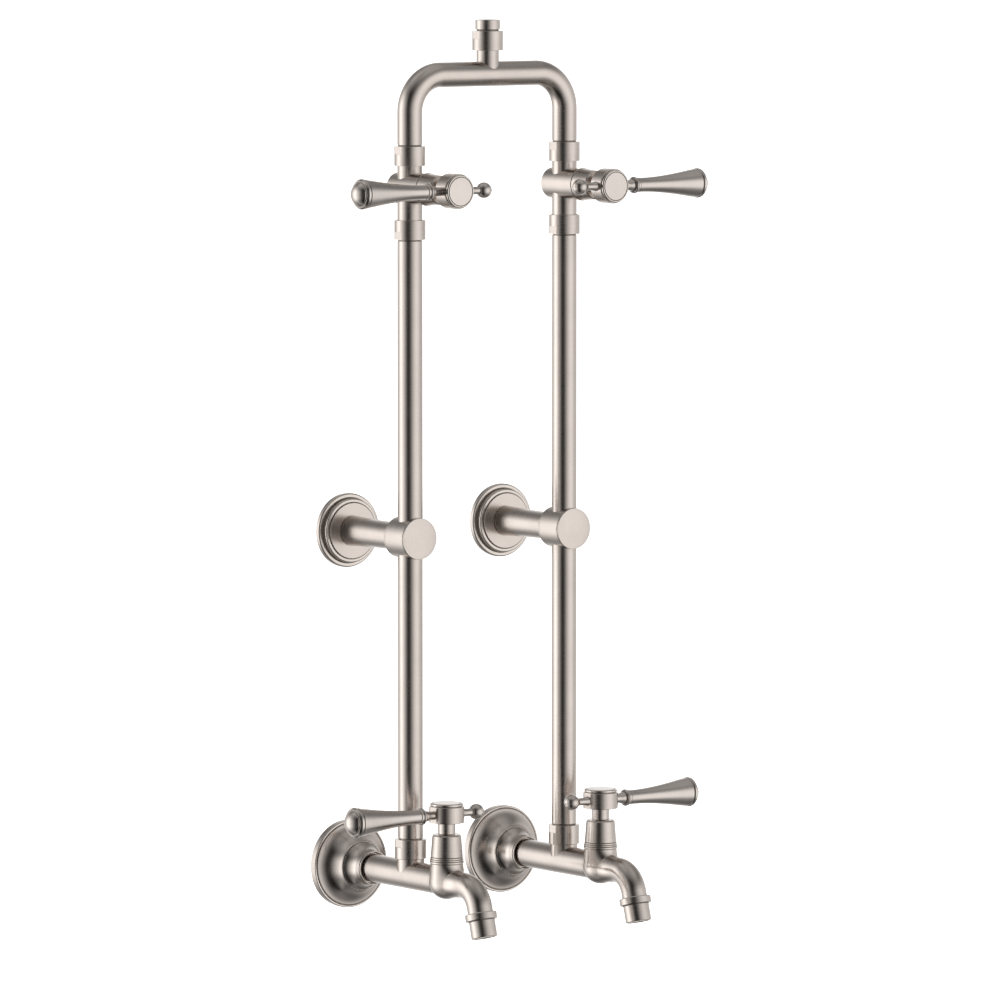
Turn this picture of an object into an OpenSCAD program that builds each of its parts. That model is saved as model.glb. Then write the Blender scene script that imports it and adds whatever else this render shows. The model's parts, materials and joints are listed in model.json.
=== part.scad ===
// Exposed twin-riser shower column: two wall taps with spouts, two risers, two
// stop valves and a bridge that joins them under the take-off for an overhead arm.
// Frame: X along the wall (hot is -X), -Y out of the wall, +Z up.
// Origin: on the wall, midway between the two inlet axes.

/* [Layout] */
// Distance between the hot and cold inlet axes
inlet_spacing = 200; // [170:1:260]
// Distance from the wall to the riser axes
riser_reach = 115; // [105:1:150]
// Distance from the riser axes out to the tap axes
tap_offset = 64; // [58:1:90]
// Height of the wall brackets above the inlets
bracket_height = 352.5; // [120:1:600]
// Height of the stop valves above the inlets
valve_height = 715.4; // [420:1:900]
// Height of the bridge above the stop valves
bridge_rise = 116.5; // [100:0.5:180]

/* [Tube] */
// Outside diameter of risers and bridge
tube_d = 26; // [24:0.5:27]
// Wall thickness of risers and bridge
tube_wall = 1.5; // [1:0.1:2.5]
// Centreline radius of the bridge bends
bend_r = 38; // [30:1:60]
// Diameter of the take-off stub on the bridge
stub_d = 23.5; // [20:0.5:27]
// Length of the tail above the top nut
tail_rise = 11.6; // [8:0.1:60]

/* [Union nuts] */
// Outside diameter of a union nut
nut_d = 32.4; // [31:0.1:38]
// Length of a union nut
nut_h = 20.1; // [18:0.1:26]
// Depth of the two spanner flats
nut_flat = 1; // [0.5:0.1:1.5]
// Diameter of the union thread and of the tube collar
union_d = 28.4; // [28:0.1:29.4]

/* [Wall flange] */
// Diameter of the wall flange
flange_d = 93; // [80:1:120]
// Diameter of the sleeve where it meets the flare
boss_d = 50.6; // [44:0.1:60]
// Distance from the wall to the foot of the sleeve
boss_reach = 28.5; // [22:0.5:40]
// Diameter of the sleeve's lip
lip_d = 36; // [33:0.5:42]
// Distance from the wall to the sleeve's lip
lip_reach = 50; // [42:0.5:70]

/* [Tap] */
// Outside diameter of the inlet tube
inlet_d = 29.6; // [28.8:0.1:31]
// Outside diameter of the branch that feeds the riser
branch_d = 28.8; // [28.4:0.1:29.6]
// Height of the branch's union above the inlet tube
branch_rise = 2.8; // [0.3:0.1:12]
// Outside diameter of the inlet's male thread
inlet_thread_d = 20.8; // [18:0.1:21.2]
// Length of the inlet thread behind the wall
inlet_thread_l = 18; // [10:1:40]
// Diameter of the tap's ball
ball_d = 36.8; // [35:0.1:42]
// Drop of the ball's centre below the inlet axis
ball_drop = 0; // [0:0.5:4]
// Height of the tap seat above the inlet axis
seat_height = 23.6; // [21:0.1:30]
// Outside diameter of the spout tube
spout_d = 26.4; // [23:0.2:27]
// Straight run of the spout, from the tap axis
spout_run = 31; // [24:1:60]
// Centreline radius of the spout bend
spout_bend_r = 27.5; // [24:0.5:50]
// Angle of the outlet from the vertical
outlet_tilt = 15.7; // [0:0.1:30]
// Diameter of the outlet's collar
collar_d = 33.3; // [31:0.1:38]
// Diameter of the outlet's nose
nose_d = 27.2; // [26:0.1:29]
// Length of the outlet, collar and nose
outlet_l = 25.9; // [18:0.1:40]

/* [Stop valve] */
// Diameter of the stop valve's body
valve_d = 32.6; // [31:0.1:36]
// Distance from the riser axis to the body's back
valve_back = 19.9; // [16:0.1:30]
// Distance from the riser axis to the valve seat
valve_seat = 31; // [31:0.1:45]
// Height of the upper union above the valve axis
union_up = 23.5; // [22:0.1:40]
// Drop of the lower union below the valve axis
union_down = 32.8; // [22:0.1:50]

/* [Handle] */
// Height of the bonnet
bonnet_h = 25.8; // [25:0.1:36]
// Diameter of the bonnet's foot
bonnet_d = 34.2; // [31:0.1:35]
// Diameter of the bonnet's top
bonnet_top_d = 29.7; // [26:0.1:31]
// Length of the neck between bonnet and hub
neck_h = 12.1; // [6:0.1:20]
// Diameter of the neck
neck_d = 18; // [14:0.1:22]
// Diameter of the handle's hub
hub_d = 36.4; // [33:0.1:42]
// Height of the hub
hub_h = 17; // [16:0.1:26]
// Distance across the hub's two flats
hub_flats = 34.8; // [32:0.1:42]
// Diameter of the index button
index_d = 34.2; // [20:0.1:34.6]
// Height of the index button
index_h = 3.6; // [2:0.1:6]
// Length of the lever, from the hub axis
lever_l = 126.8; // [90:1:160]
// Largest diameter of the lever
lever_d = 31.2; // [24:0.1:36]
// Diameter of the grip at its narrow end
grip_d = 15.1; // [12:0.1:17]
// Diameter of the finial's ball
finial_d = 16.4; // [12:0.1:20]
// Distance from the hub axis to the ball's centre
finial_reach = 38; // [32:0.5:41]

/* [Wall bracket] */
// Diameter of the bracket's flange
rose_d = 78; // [66:1:100]
// Distance from the wall to the flange's face
rose_face = 13; // [10:0.5:20]
// Diameter of the bracket's arm at the flange
arm_d = 32; // [29:0.5:36]
// Diameter of the bracket's arm at the collar
arm_end_d = 28.6; // [26:0.1:34]
// Diameter of the collar round the riser
clamp_d = 43; // [40:0.5:52]
// Length of the collar
clamp_l = 35; // [32:0.5:46]
// Diameter of the hanger bolt's hole
bolt_d = 8; // [6:0.5:12]
// Depth of the hanger bolt's hole
bolt_l = 30; // [15:1:60]

/* [Fits] */
// Radial clearance between fixed pieces that slide together
fit = 0.05; // [0.02:0.01:0.1]
// Radial clearance of the turning spindle
spindle_fit = 0.06; // [0.02:0.01:0.1]
// Gap between a turning piece and a fixed one
turn_gap = 0.5; // [0.3:0.05:0.8]
// Gap between the two ceramic discs
disc_gap = 0.1; // [0.05:0.01:0.2]

/* [Hidden] */
$fn = 96;
SIDES = [["hot", -1], ["cold", 1]];

NICKEL = "#b9aea6";
BRASS = "#b39a5b";
CERAMIC = "#ece9e2";
RUBBER = "#2b2b2d";
FIBRE = "#8a5a3a";
PLASTIC = "#d9d9d6";

tube_r = tube_d / 2;
tube_bore_r = tube_r - tube_wall;
half_spacing = inlet_spacing / 2;
tap_reach = riser_reach + tap_offset;

// Union: lengths along the nut, from its threaded end to its tube end
thread_start = 1;
thread_end = 11;
washer_t = 1.5;
tube_start = thread_end + washer_t;
tube_collar_t = 2;
nut_inner_edge = 0.6;
nut_gap = 0.3;

// Heights of the unions' threaded ends
tap_nut_z = inlet_d / 2 + branch_rise;
valve_low_z = valve_height - union_down;
valve_up_z = valve_height + union_up;
bridge_z = valve_height + bridge_rise;
stub_rise = 24.6;
top_nut_z = bridge_z + stub_rise;

// Nipple: radius of the part inside the inlet tube
nipple_inner_r = inlet_thread_d / 2 - 0.2;

// Tap body
ball_r = ball_d / 2;
column_top_r = 17;
seat_ring_h = 4.8;
seat_ring_r = 17.75;
butt_y = 13;
spigot_l = 5;
spigot_r = 11.5;
spout_z = -0.8;
spout_r = spout_d / 2;
spout_bore_r = spout_r - 2.25;
outlet_turn = 90 - outlet_tilt;
outlet_lead = 5.8;
outlet_collar_h = 7.6;
outlet_spigot_r = spout_r - 0.9;
aerator_r = 11.2;
aerator_h = 8;
aerator_recess = 1.6;
outlet_washer_t = 1.5;
outlet_spigot_l = outlet_l - aerator_recess - aerator_h - 1 - outlet_washer_t;

// Handle, measured from the seat along the spindle
cartridge_thread_r = 11.8;
cage_r = 10.6;
cage_l = 18;
thread_l = 10;
disc_r = 9;
disc_room_r = 9.5;
disc_t = 3;
stem_r = 8;
spindle_r = 4;
neck_z = bonnet_h + turn_gap;
hub_z = bonnet_h + neck_h;
hub_top_z = hub_z + hub_h;
lever_z = hub_z + hub_h / 2;
socket_r = 3;
socket_depth = 7;
screw_r = 1.95;
counterbore_r = 6;
counterbore_l = 6;
disc_foot_z = -cage_l + 1;
fixed_top_z = disc_foot_z + disc_t;
disc_top_z = fixed_top_z + disc_gap + disc_t;
spindle_top_z = hub_top_z - counterbore_l - 3;
flow_holes = [-5, 5];

// Bracket
clamp_back = riser_reach - clamp_l / 2;
clamp_front = riser_reach + clamp_l / 2;
cap_t = 1.8;
cap_gap = 0.4;
grub_r = 2.5;

// --- Helpers ---------------------------------------------------------------

// Points on an arc about a centre, from one angle to another
function arc(centre, r, from, to, steps = 12) =
    [for (i = [0:steps]) let (a = from + (to - from) * i / steps)
        centre + r * [cos(a), sin(a)]];

// Points on a flare: slopes run from one angle off the axis to another
function flare(start, end, from, to, steps = 16) =
    let (rx = (start.x - end.x) / (sin(to) - sin(from)),
         ry = (end.y - start.y) / (cos(from) - cos(to)))
    [for (i = [0:steps]) let (a = from + (to - from) * i / steps)
        [start.x - rx * (sin(a) - sin(from)), start.y + ry * (cos(from) - cos(a))]];

// Ring about +Z between two heights
module ring(outer_r, inner_r, z0, z1) {
    difference() {
        translate([0, 0, z0]) cylinder(r = outer_r, h = z1 - z0);
        translate([0, 0, z0 - 1]) cylinder(r = inner_r, h = z1 - z0 + 2);
    }
}

// Cylinder along -Y from one distance off the wall to another
module out_of_wall(r, from, to) {
    translate([0, -from, 0]) rotate([90, 0, 0]) cylinder(r = r, h = to - from);
}

// Stands a piece designed for the hot side on either side
module on_side(side) {
    translate([side * half_spacing, 0, 0])
        mirror([side > 0 ? 1 : 0, 0, 0]) children();
}

// Frame of a tap's handle: +Z up the spindle, origin on the seat
module at_tap(side) {
    on_side(side) translate([0, -tap_reach, seat_height]) children();
}

// Frame of a stop valve's handle: +Z out of the wall, origin on the seat
module at_valve(side) {
    on_side(side) translate([0, -riser_reach - valve_seat, valve_height])
        rotate([90, 0, 0]) children();
}

// Frame at the end of a spout's bend, in the tap's frame: +Z along the flow
module at_spout_end() {
    bend_y = -spout_run - spout_bend_r * sin(outlet_turn);
    bend_z = spout_z - spout_bend_r * (1 - cos(outlet_turn));
    translate([0, bend_y, bend_z]) rotate([180 - outlet_tilt, 0, 0]) children();
}

// Frame of an outlet: +Z along the flow, origin at the end of the spout's bend
module at_outlet(side) {
    on_side(side) translate([0, -tap_reach, 0]) at_spout_end() children();
}

// --- Unions ----------------------------------------------------------------

// Male thread of a union, above a stub's end
module union_thread() {
    translate([0, 0, thread_start]) cylinder(d = union_d, h = thread_end - thread_start);
}

// Collar on a tube's end that the nut draws down
module tube_collar() {
    translate([0, 0, tube_start]) cylinder(d = union_d, h = tube_collar_t);
}

// Union nut: threaded end at z = 0, tube end with two spanner flats
module union_nut() {
    flat_h = 0.4 * nut_h;
    shoulder = tube_start + tube_collar_t + fit;
    difference() {
        rotate_extrude() polygon([
            [union_d / 2 + fit, 0], [nut_d / 2 - 0.3, 0], [nut_d / 2, 0.3],
            [nut_d / 2, nut_h - 0.3], [nut_d / 2 - 0.3, nut_h],
            [tube_r + fit + nut_inner_edge, nut_h],
            [tube_r + fit, nut_h - nut_inner_edge],
            [tube_r + fit, shoulder], [union_d / 2 + fit, shoulder]
        ]);
        for (side = [-1, 1])
            translate([side * (nut_d - nut_flat), 0, nut_h - flat_h / 2 + 0.5])
                cube([nut_d, nut_d, flat_h + 1], center = true);
    }
}

// Fibre washer of a union
module union_washer() {
    ring(union_d / 2 - 0.1, tube_bore_r, thread_end, tube_start);
}

// Puts a union piece at each of the seven unions
module at_unions() {
    for (x = [-half_spacing, half_spacing]) {
        translate([x, -riser_reach, tap_nut_z]) children();
        translate([x, -riser_reach, valve_up_z]) children();
        translate([x, -riser_reach, valve_low_z]) mirror([0, 0, 1]) children();
    }
    translate([0, -riser_reach, top_nut_z]) children();
}

module union_nuts() {
    color(NICKEL) at_unions() union_nut();
}

module union_washers() {
    color(FIBRE) at_unions() union_washer();
}

// --- Tubes -----------------------------------------------------------------

module riser(side) {
    foot = tap_nut_z + tube_start;
    head = valve_low_z - tube_start;
    color(NICKEL) translate([side * half_spacing, -riser_reach, 0]) difference() {
        union() {
            translate([0, 0, foot]) cylinder(r = tube_r, h = head - foot);
            translate([0, 0, foot]) cylinder(d = union_d, h = tube_collar_t);
            translate([0, 0, head - tube_collar_t]) cylinder(d = union_d, h = tube_collar_t);
        }
        translate([0, 0, foot - 1]) cylinder(r = tube_bore_r, h = head - foot + 2);
    }
}

// Outline of the bridge's run, at a given radius
module bridge_run(r, leg_extra) {
    leg_foot = valve_up_z + tube_start - leg_extra;
    bend_z = bridge_z - bend_r;
    span = inlet_spacing - 2 * bend_r;
    for (side = [-1, 1]) {
        translate([side * half_spacing, 0, leg_foot])
            cylinder(r = r, h = bend_z - leg_foot);
        translate([side * (half_spacing - bend_r), 0, bend_z]) rotate([90, 0, 0])
            rotate_extrude(angle = 90, start = side < 0 ? 90 : 0)
                translate([bend_r, 0]) circle(r = r);
    }
    translate([-span / 2, 0, bridge_z]) rotate([0, 90, 0]) cylinder(r = r, h = span);
}

module bridge_tube() {
    stub_bore_r = stub_d / 2 - tube_wall;
    color(NICKEL) translate([0, -riser_reach, 0]) difference() {
        union() {
            bridge_run(tube_r, 0);
            for (x = [-half_spacing, half_spacing])
                translate([x, 0, valve_up_z]) tube_collar();
            translate([0, 0, bridge_z]) cylinder(d = stub_d, h = stub_rise + thread_end);
            translate([0, 0, top_nut_z]) union_thread();
        }
        bridge_run(tube_bore_r, 1);
        translate([0, 0, bridge_z]) cylinder(r = stub_bore_r, h = stub_rise + thread_end + 1);
    }
}

// Tail above the top nut, with a socket for the overhead arm
module top_tail() {
    foot = tube_start;
    head = nut_h + tail_rise;
    groove_z = nut_h + 0.1;
    groove_h = 1.4;
    groove_depth = 1.6;
    socket_r = tube_bore_r - 1;
    color(NICKEL) translate([0, -riser_reach, top_nut_z]) difference() {
        rotate_extrude() polygon([
            [socket_r, foot], [union_d / 2, foot], [union_d / 2, foot + tube_collar_t],
            [tube_r, foot + tube_collar_t], [tube_r, groove_z],
            [tube_r - groove_depth, groove_z], [tube_r - groove_depth, groove_z + groove_h],
            [tube_r, groove_z + groove_h], [tube_r, head - 0.3], [tube_r - 0.3, head],
            [socket_r, head]
        ]);
    }
}

// --- Inlets ----------------------------------------------------------------

// Flared wall flange with a sleeve, drawn as radius against distance off the wall
module wall_flange(side) {
    rim_r = flange_d / 2;
    rim_t = 6.2;
    rim_round = 1.8;
    skin = 2;
    flare_foot = [rim_r - 2.6, rim_t + 2.2];
    boss_r = boss_d / 2;
    flare_top = [boss_r + 0.4, boss_reach - 1];
    sleeve_foot = [boss_r - 0.5, boss_reach + 0.7];
    lip_r = lip_d / 2;
    hole_r = inlet_d / 2 + fit;
    mouth_r = lip_r - 1.3;
    mouth_depth = 6;
    outer = concat(
        [[rim_r, 0]],
        arc([rim_r - rim_round, rim_t], rim_round, 0, 80, 6),
        [[flare_foot.x, flare_foot.y - 0.6]],
        flare(flare_foot, flare_top, 14, 74),
        [[boss_r, boss_reach]],
        flare(sleeve_foot, [lip_r + 0.1, boss_reach + 14], 36, 86, 10),
        [[lip_r - 0.4, lip_reach - 2.2]],
        arc([lip_r - 0.7, lip_reach - 1], 1, -50, 150, 8)
    );
    inner = [
        [mouth_r, lip_reach - 1.6], [mouth_r, lip_reach - mouth_depth],
        [hole_r, lip_reach - mouth_depth], [hole_r, boss_reach - 6],
        [boss_r - 5, boss_reach - 6], [rim_r - 12, skin + 3], [rim_r - skin, skin + 1.5],
        [rim_r - skin, 0]
    ];
    color(NICKEL) translate([side * half_spacing, 0, 0]) rotate([90, 0, 0])
        rotate_extrude() polygon(concat(outer, inner));
}

// Inlet tube along the tap's axis with the branch that feeds the riser
module inlet_tee(side) {
    start = 1.5;
    end = tap_reach - butt_y;
    bore_r = spigot_r + fit;
    nipple_l = 14;
    color(NICKEL) translate([side * half_spacing, 0, 0]) difference() {
        union() {
            out_of_wall(inlet_d / 2, start, end);
            translate([0, -riser_reach, 0]) {
                cylinder(d = branch_d, h = tap_nut_z - nut_gap);
                cylinder(r = tube_r, h = tap_nut_z + thread_end);
                translate([0, 0, tap_nut_z]) union_thread();
            }
        }
        out_of_wall(nipple_inner_r + fit, start - 1, start + nipple_l);
        out_of_wall(inlet_thread_d / 2 - 1.5, start + nipple_l - 1, start + nipple_l + 4);
        out_of_wall(bore_r, start + nipple_l + 3, end + 1);
        translate([0, -riser_reach, 0])
            cylinder(r = tube_bore_r - 0.8, h = tap_nut_z + thread_end + 1);
    }
}

// Threaded nipples that stand out of the wall fittings
module inlet_nipples() {
    inner_l = 15;
    bore_r = 7.5;
    thread_r = inlet_thread_d / 2;
    color(BRASS) for (x = [-half_spacing, half_spacing])
        translate([x, inlet_thread_l, 0]) rotate([90, 0, 0]) rotate_extrude() polygon([
            [bore_r, 0], [thread_r - 0.6, 0], [thread_r, 0.6], [thread_r, inlet_thread_l],
            [nipple_inner_r, inlet_thread_l], [nipple_inner_r, inlet_thread_l + inner_l],
            [bore_r, inlet_thread_l + inner_l]
        ]);
}

// --- Tap body --------------------------------------------------------------

// Spout's run at a given radius, in the tap's frame; the tail is a hair slimmer
module spout_run_shape(r, start, tail) {
    hair = 0.05;
    translate([0, 0, spout_z]) out_of_wall(r, start, spout_run);
    translate([0, -spout_run, spout_z - spout_bend_r]) rotate([0, -90, 180])
        rotate_extrude(angle = outlet_turn) translate([spout_bend_r, 0]) circle(r = r);
    at_spout_end() translate([0, 0, -1]) cylinder(r = r - hair, h = tail + 1);
}

// Ball, seat column, rear butt and spout, with the ways through them
module tap_body(side) {
    ball_z = -ball_drop;
    ring_z = seat_height - seat_ring_h;
    join_angle = 14;
    way_r = 5.5;
    way_front = 8.5;
    cage_floor = seat_height - cage_l - turn_gap;
    thread_floor = seat_height - thread_l - turn_gap;
    ball = arc([0, ball_z], ball_r, -90, join_angle, 20);
    color(NICKEL) on_side(side) translate([0, -tap_reach, 0]) difference() {
        union() {
            difference() {
                rotate_extrude() polygon(concat(ball, [
                    [column_top_r, ring_z], [seat_ring_r - 0.6, ring_z],
                    [seat_ring_r, ring_z + 0.7], [seat_ring_r, seat_height - 1.2],
                    [seat_ring_r - 0.7, seat_height], [0, seat_height]
                ]));
                out_of_wall(inlet_d / 2 + fit, -ball_r, -butt_y);
            }
            out_of_wall(inlet_d / 2, -butt_y, 0);
            out_of_wall(spigot_r, -butt_y - spigot_l, 0);
            spout_run_shape(spout_r, 0, outlet_lead);
            at_spout_end() translate([0, 0, -1])
                cylinder(r = outlet_spigot_r, h = outlet_lead + outlet_spigot_l + 1);
        }
        translate([0, 0, thread_floor]) cylinder(r = cartridge_thread_r + fit, h = thread_l + 5);
        translate([0, 0, cage_floor]) cylinder(r = cage_r + 0.4, h = cage_l);
        translate([0, 0, -8]) cylinder(r = way_r, h = cage_floor + 9);
        translate([0, 0, ball_z]) out_of_wall(way_r, -butt_y, 0);
        out_of_wall(spigot_r - 2, -butt_y - spigot_l - 1, -butt_y);
        spout_run_shape(spout_bore_r, way_front, outlet_lead + outlet_spigot_l + 1);
    }
}

// Outlet: collar and nose screwed onto the spout's end
module outlet(side) {
    nose_r = nose_d / 2;
    aerator_z = outlet_l - aerator_recess - aerator_h;
    color(NICKEL) at_outlet(side) translate([0, 0, outlet_lead]) rotate_extrude() polygon([
        [outlet_spigot_r + fit, 0], [collar_d / 2 - 0.5, 0], [collar_d / 2, 0.5],
        [collar_d / 2, outlet_collar_h - 0.5], [collar_d / 2 - 0.5, outlet_collar_h],
        [nose_r, outlet_collar_h], [nose_r, outlet_l - 0.6], [nose_r - 0.6, outlet_l],
        [aerator_r + fit + 0.8, outlet_l], [aerator_r + fit, outlet_l - 0.8],
        [aerator_r + fit, aerator_z], [aerator_r - 1.5, aerator_z],
        [aerator_r - 1.5, aerator_z - 1], [outlet_spigot_r + fit, aerator_z - 1]
    ]);
}

// Flow straightener in the outlet's mouth
module aerator() {
    hole_r = 1;
    pitch = 3.4;
    rows = 2;
    difference() {
        cylinder(r = aerator_r, h = aerator_h);
        for (ring_no = [1:rows], k = [0:6 * ring_no - 1])
            rotate([0, 0, k * 60 / ring_no]) translate([ring_no * pitch, 0, -1])
                cylinder(r = hole_r, h = aerator_h + 2, $fn = 16);
        translate([0, 0, -1]) cylinder(r = hole_r, h = aerator_h + 2, $fn = 16);
    }
}

module aerators() {
    place = outlet_lead + outlet_l - aerator_recess - aerator_h;
    color(PLASTIC) for (entry = SIDES)
        at_outlet(entry[1]) translate([0, 0, place]) aerator();
}

// Rubber washers between each spout's end and its outlet
module outlet_washers() {
    end = outlet_l - aerator_recess - aerator_h - 1;
    color(RUBBER) for (entry = SIDES)
        at_outlet(entry[1]) translate([0, 0, outlet_lead])
            ring(outlet_spigot_r, spout_bore_r, end - outlet_washer_t, end);
}

// --- Stop valve ------------------------------------------------------------

// Inline valve body: a barrel along Y on the riser's axis
module valve_body(side) {
    way_r = 5.5;
    leg_r = 8;
    link_r = 2.4;
    link_z = 10.4;
    edge = 0.8;
    cage_floor = valve_seat - cage_l - turn_gap;
    thread_floor = valve_seat - thread_l - turn_gap;
    color(NICKEL) on_side(side) translate([0, -riser_reach, valve_height]) difference() {
        union() {
            translate([0, valve_back, 0]) rotate([90, 0, 0]) rotate_extrude() polygon([
                [0, 0], [valve_d / 2 - edge, 0], [valve_d / 2, edge],
                [valve_d / 2, valve_back + valve_seat], [0, valve_back + valve_seat]
            ]);
            translate([0, 0, -union_down - thread_end])
                cylinder(r = tube_r, h = union_down + union_up + 2 * thread_end);
            translate([0, 0, union_up]) union_thread();
            translate([0, 0, -union_down]) mirror([0, 0, 1]) union_thread();
        }
        out_of_wall(cartridge_thread_r + fit, thread_floor, valve_seat + 1);
        out_of_wall(cage_r + 0.4, cage_floor, valve_seat + 1);
        out_of_wall(way_r, -way_r, cage_floor + 1);
        translate([0, 0, -union_down - thread_end - 1])
            cylinder(r = leg_r, h = union_down + thread_end + 1);
        translate([0, 0, link_z - link_r])
            cylinder(r = leg_r, h = union_up + thread_end + 1);
        for (x = [-4, 0, 4])
            translate([x, 0, link_z]) out_of_wall(link_r, 0, cage_floor + 4);
    }
}

// --- Handle sets, each in its own frame with +Z up the spindle ---------------

// Tapered cover over the cartridge
module bonnet() {
    foot_r = bonnet_d / 2;
    top_r = bonnet_top_d / 2;
    skin = 1.5;
    room_r = 12.9;
    bead_z = 1.6;
    difference() {
        rotate_extrude() polygon([
            [room_r, 0], [foot_r - 0.5, 0], [foot_r, bead_z * 0.4], [foot_r - 0.2, bead_z],
            [foot_r - 0.6, bead_z + 0.5], [top_r + 0.2, bonnet_h - 1.4],
            [top_r - 0.9, bonnet_h], [spindle_r + 1.5, bonnet_h],
            [spindle_r + 1.5, bonnet_h - skin], [room_r, bonnet_h - skin - 0.5]
        ]);
    }
}

// Quarter-turn cartridge: cage, thread, seat flange and stem
module cartridge() {
    window_r = 2.6;
    stem_top = bonnet_h - 2.4;
    flange_r = 12.4;
    bore_r = spindle_r + spindle_fit;
    room_top = disc_top_z + 2;
    difference() {
        union() {
            translate([0, 0, -cage_l]) cylinder(r = cage_r, h = cage_l - thread_l);
            translate([0, 0, -thread_l]) cylinder(r = cartridge_thread_r, h = thread_l);
            cylinder(r = flange_r, h = 3);
            translate([0, 0, 2]) cylinder(r = stem_r, h = stem_top - 2);
        }
        translate([0, 0, -cage_l - 1]) cylinder(r = disc_r + fit, h = cage_l + 1 + fixed_top_z);
        translate([0, 0, fixed_top_z - 0.1]) cylinder(r = disc_room_r, h = room_top - fixed_top_z + 0.1);
        cylinder(r = bore_r, h = stem_top + 1);
        translate([0, 0, room_top - 1]) cylinder(r = bore_r, h = 2 - room_top);
        for (turn = [0, 90, 180, 270])
            rotate([0, 0, turn + 45]) translate([0, 0, disc_top_z - disc_t / 2])
                rotate([0, 90, 0]) cylinder(r = window_r, h = cage_r + 2, $fn = 32);
    }
}

// Ceramic disc with its two ways through
module ceramic_disc(z0) {
    way_r = 2.6;
    difference() {
        translate([0, 0, z0]) cylinder(r = disc_r, h = disc_t);
        for (x = flow_holes)
            translate([x, 0, z0 - 1]) cylinder(r = way_r, h = disc_t + 2);
    }
}

// Slot in the turning disc that the spindle's tongue drives
module drive_slot(length, width, z0, h) {
    translate([-width / 2, -length / 2, z0]) cube([width, length, h]);
}

module turning_disc() {
    color(CERAMIC) difference() {
        ceramic_disc(fixed_top_z + disc_gap);
        drive_slot(12, 3, disc_top_z - 1.3, 3);
    }
}

// Spindle with its driving foot and a tapped head
module spindle() {
    foot_r = 7;
    foot_z = disc_top_z + 0.1;
    color(BRASS) difference() {
        union() {
            translate([0, 0, foot_z]) cylinder(r = foot_r, h = 1.6);
            translate([0, 0, foot_z]) cylinder(r = spindle_r, h = spindle_top_z - foot_z);
            drive_slot(11.8, 2.8, disc_top_z - 1.2, 1.4);
        }
        translate([0, 0, spindle_top_z - 10]) cylinder(r = screw_r, h = 11);
    }
}

// Hub: neck, drum with two flats, sockets for the lever and the finial
module hub() {
    edge = 0.7;
    hub_r = hub_d / 2;
    color(NICKEL) difference() {
        intersection() {
            rotate_extrude() polygon([
                [0, neck_z], [neck_d / 2, neck_z], [neck_d / 2, hub_z],
                [hub_r - edge, hub_z], [hub_r, hub_z + edge],
                [hub_r, hub_top_z - edge], [hub_r - edge, hub_top_z], [0, hub_top_z]
            ]);
            translate([-hub_flats / 2, -hub_d, 0]) cube([hub_flats, 2 * hub_d, hub_top_z + 1]);
        }
        translate([0, 0, neck_z - 1]) cylinder(r = spindle_r + fit, h = spindle_top_z - neck_z + 1);
        translate([0, 0, neck_z]) cylinder(r = screw_r + 0.2, h = hub_top_z);
        translate([0, 0, hub_top_z - counterbore_l]) cylinder(r = counterbore_r, h = counterbore_l + 1);
        for (side = [-1, 1])
            translate([side * hub_flats / 2, 0, lever_z]) rotate([0, -side * 90, 0])
                translate([0, 0, -1]) cylinder(r = socket_r + fit, h = socket_depth + 1.2);
    }
}

// Screw that holds the hub on the spindle
module hub_screw() {
    seat = hub_top_z - counterbore_l;
    head_h = 2.4;
    color(BRASS) difference() {
        union() {
            translate([0, 0, spindle_top_z - 8]) cylinder(r = screw_r - fit, h = seat - spindle_top_z + 8.5);
            translate([0, 0, seat]) cylinder(r = 3.7, h = head_h);
        }
        translate([0, 0, seat + 0.8]) cylinder(r = 1.5, h = head_h, $fn = 6);
    }
}

// Index button pressed into the hub
module index_button() {
    r = index_d / 2;
    spigot_z = hub_top_z - 3;
    color(NICKEL) rotate_extrude() polygon([
        [0, spigot_z], [counterbore_r - fit, spigot_z], [counterbore_r - fit, hub_top_z],
        [r - 1, hub_top_z], [r - 1, hub_top_z + index_h * 0.35],
        [r, hub_top_z + index_h * 0.6], [r, hub_top_z + index_h - 0.5],
        [r - 0.4, hub_top_z + index_h - 0.1], [r - 1.2, hub_top_z + index_h - 0.1],
        [r - 1.5, hub_top_z + index_h - 0.5], [r - 1.9, hub_top_z + index_h - 0.1],
        [r * 0.5, hub_top_z + index_h], [0, hub_top_z + index_h]
    ]);
}

// Half-outline of the grip's trumpet: radius grows smoothly along its length
function grip_radius(t) = grip_d / 2 + (lever_d / 2 - 1.1 - grip_d / 2) * (0.22 * t + 0.78 * pow(t, 2.6));

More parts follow.
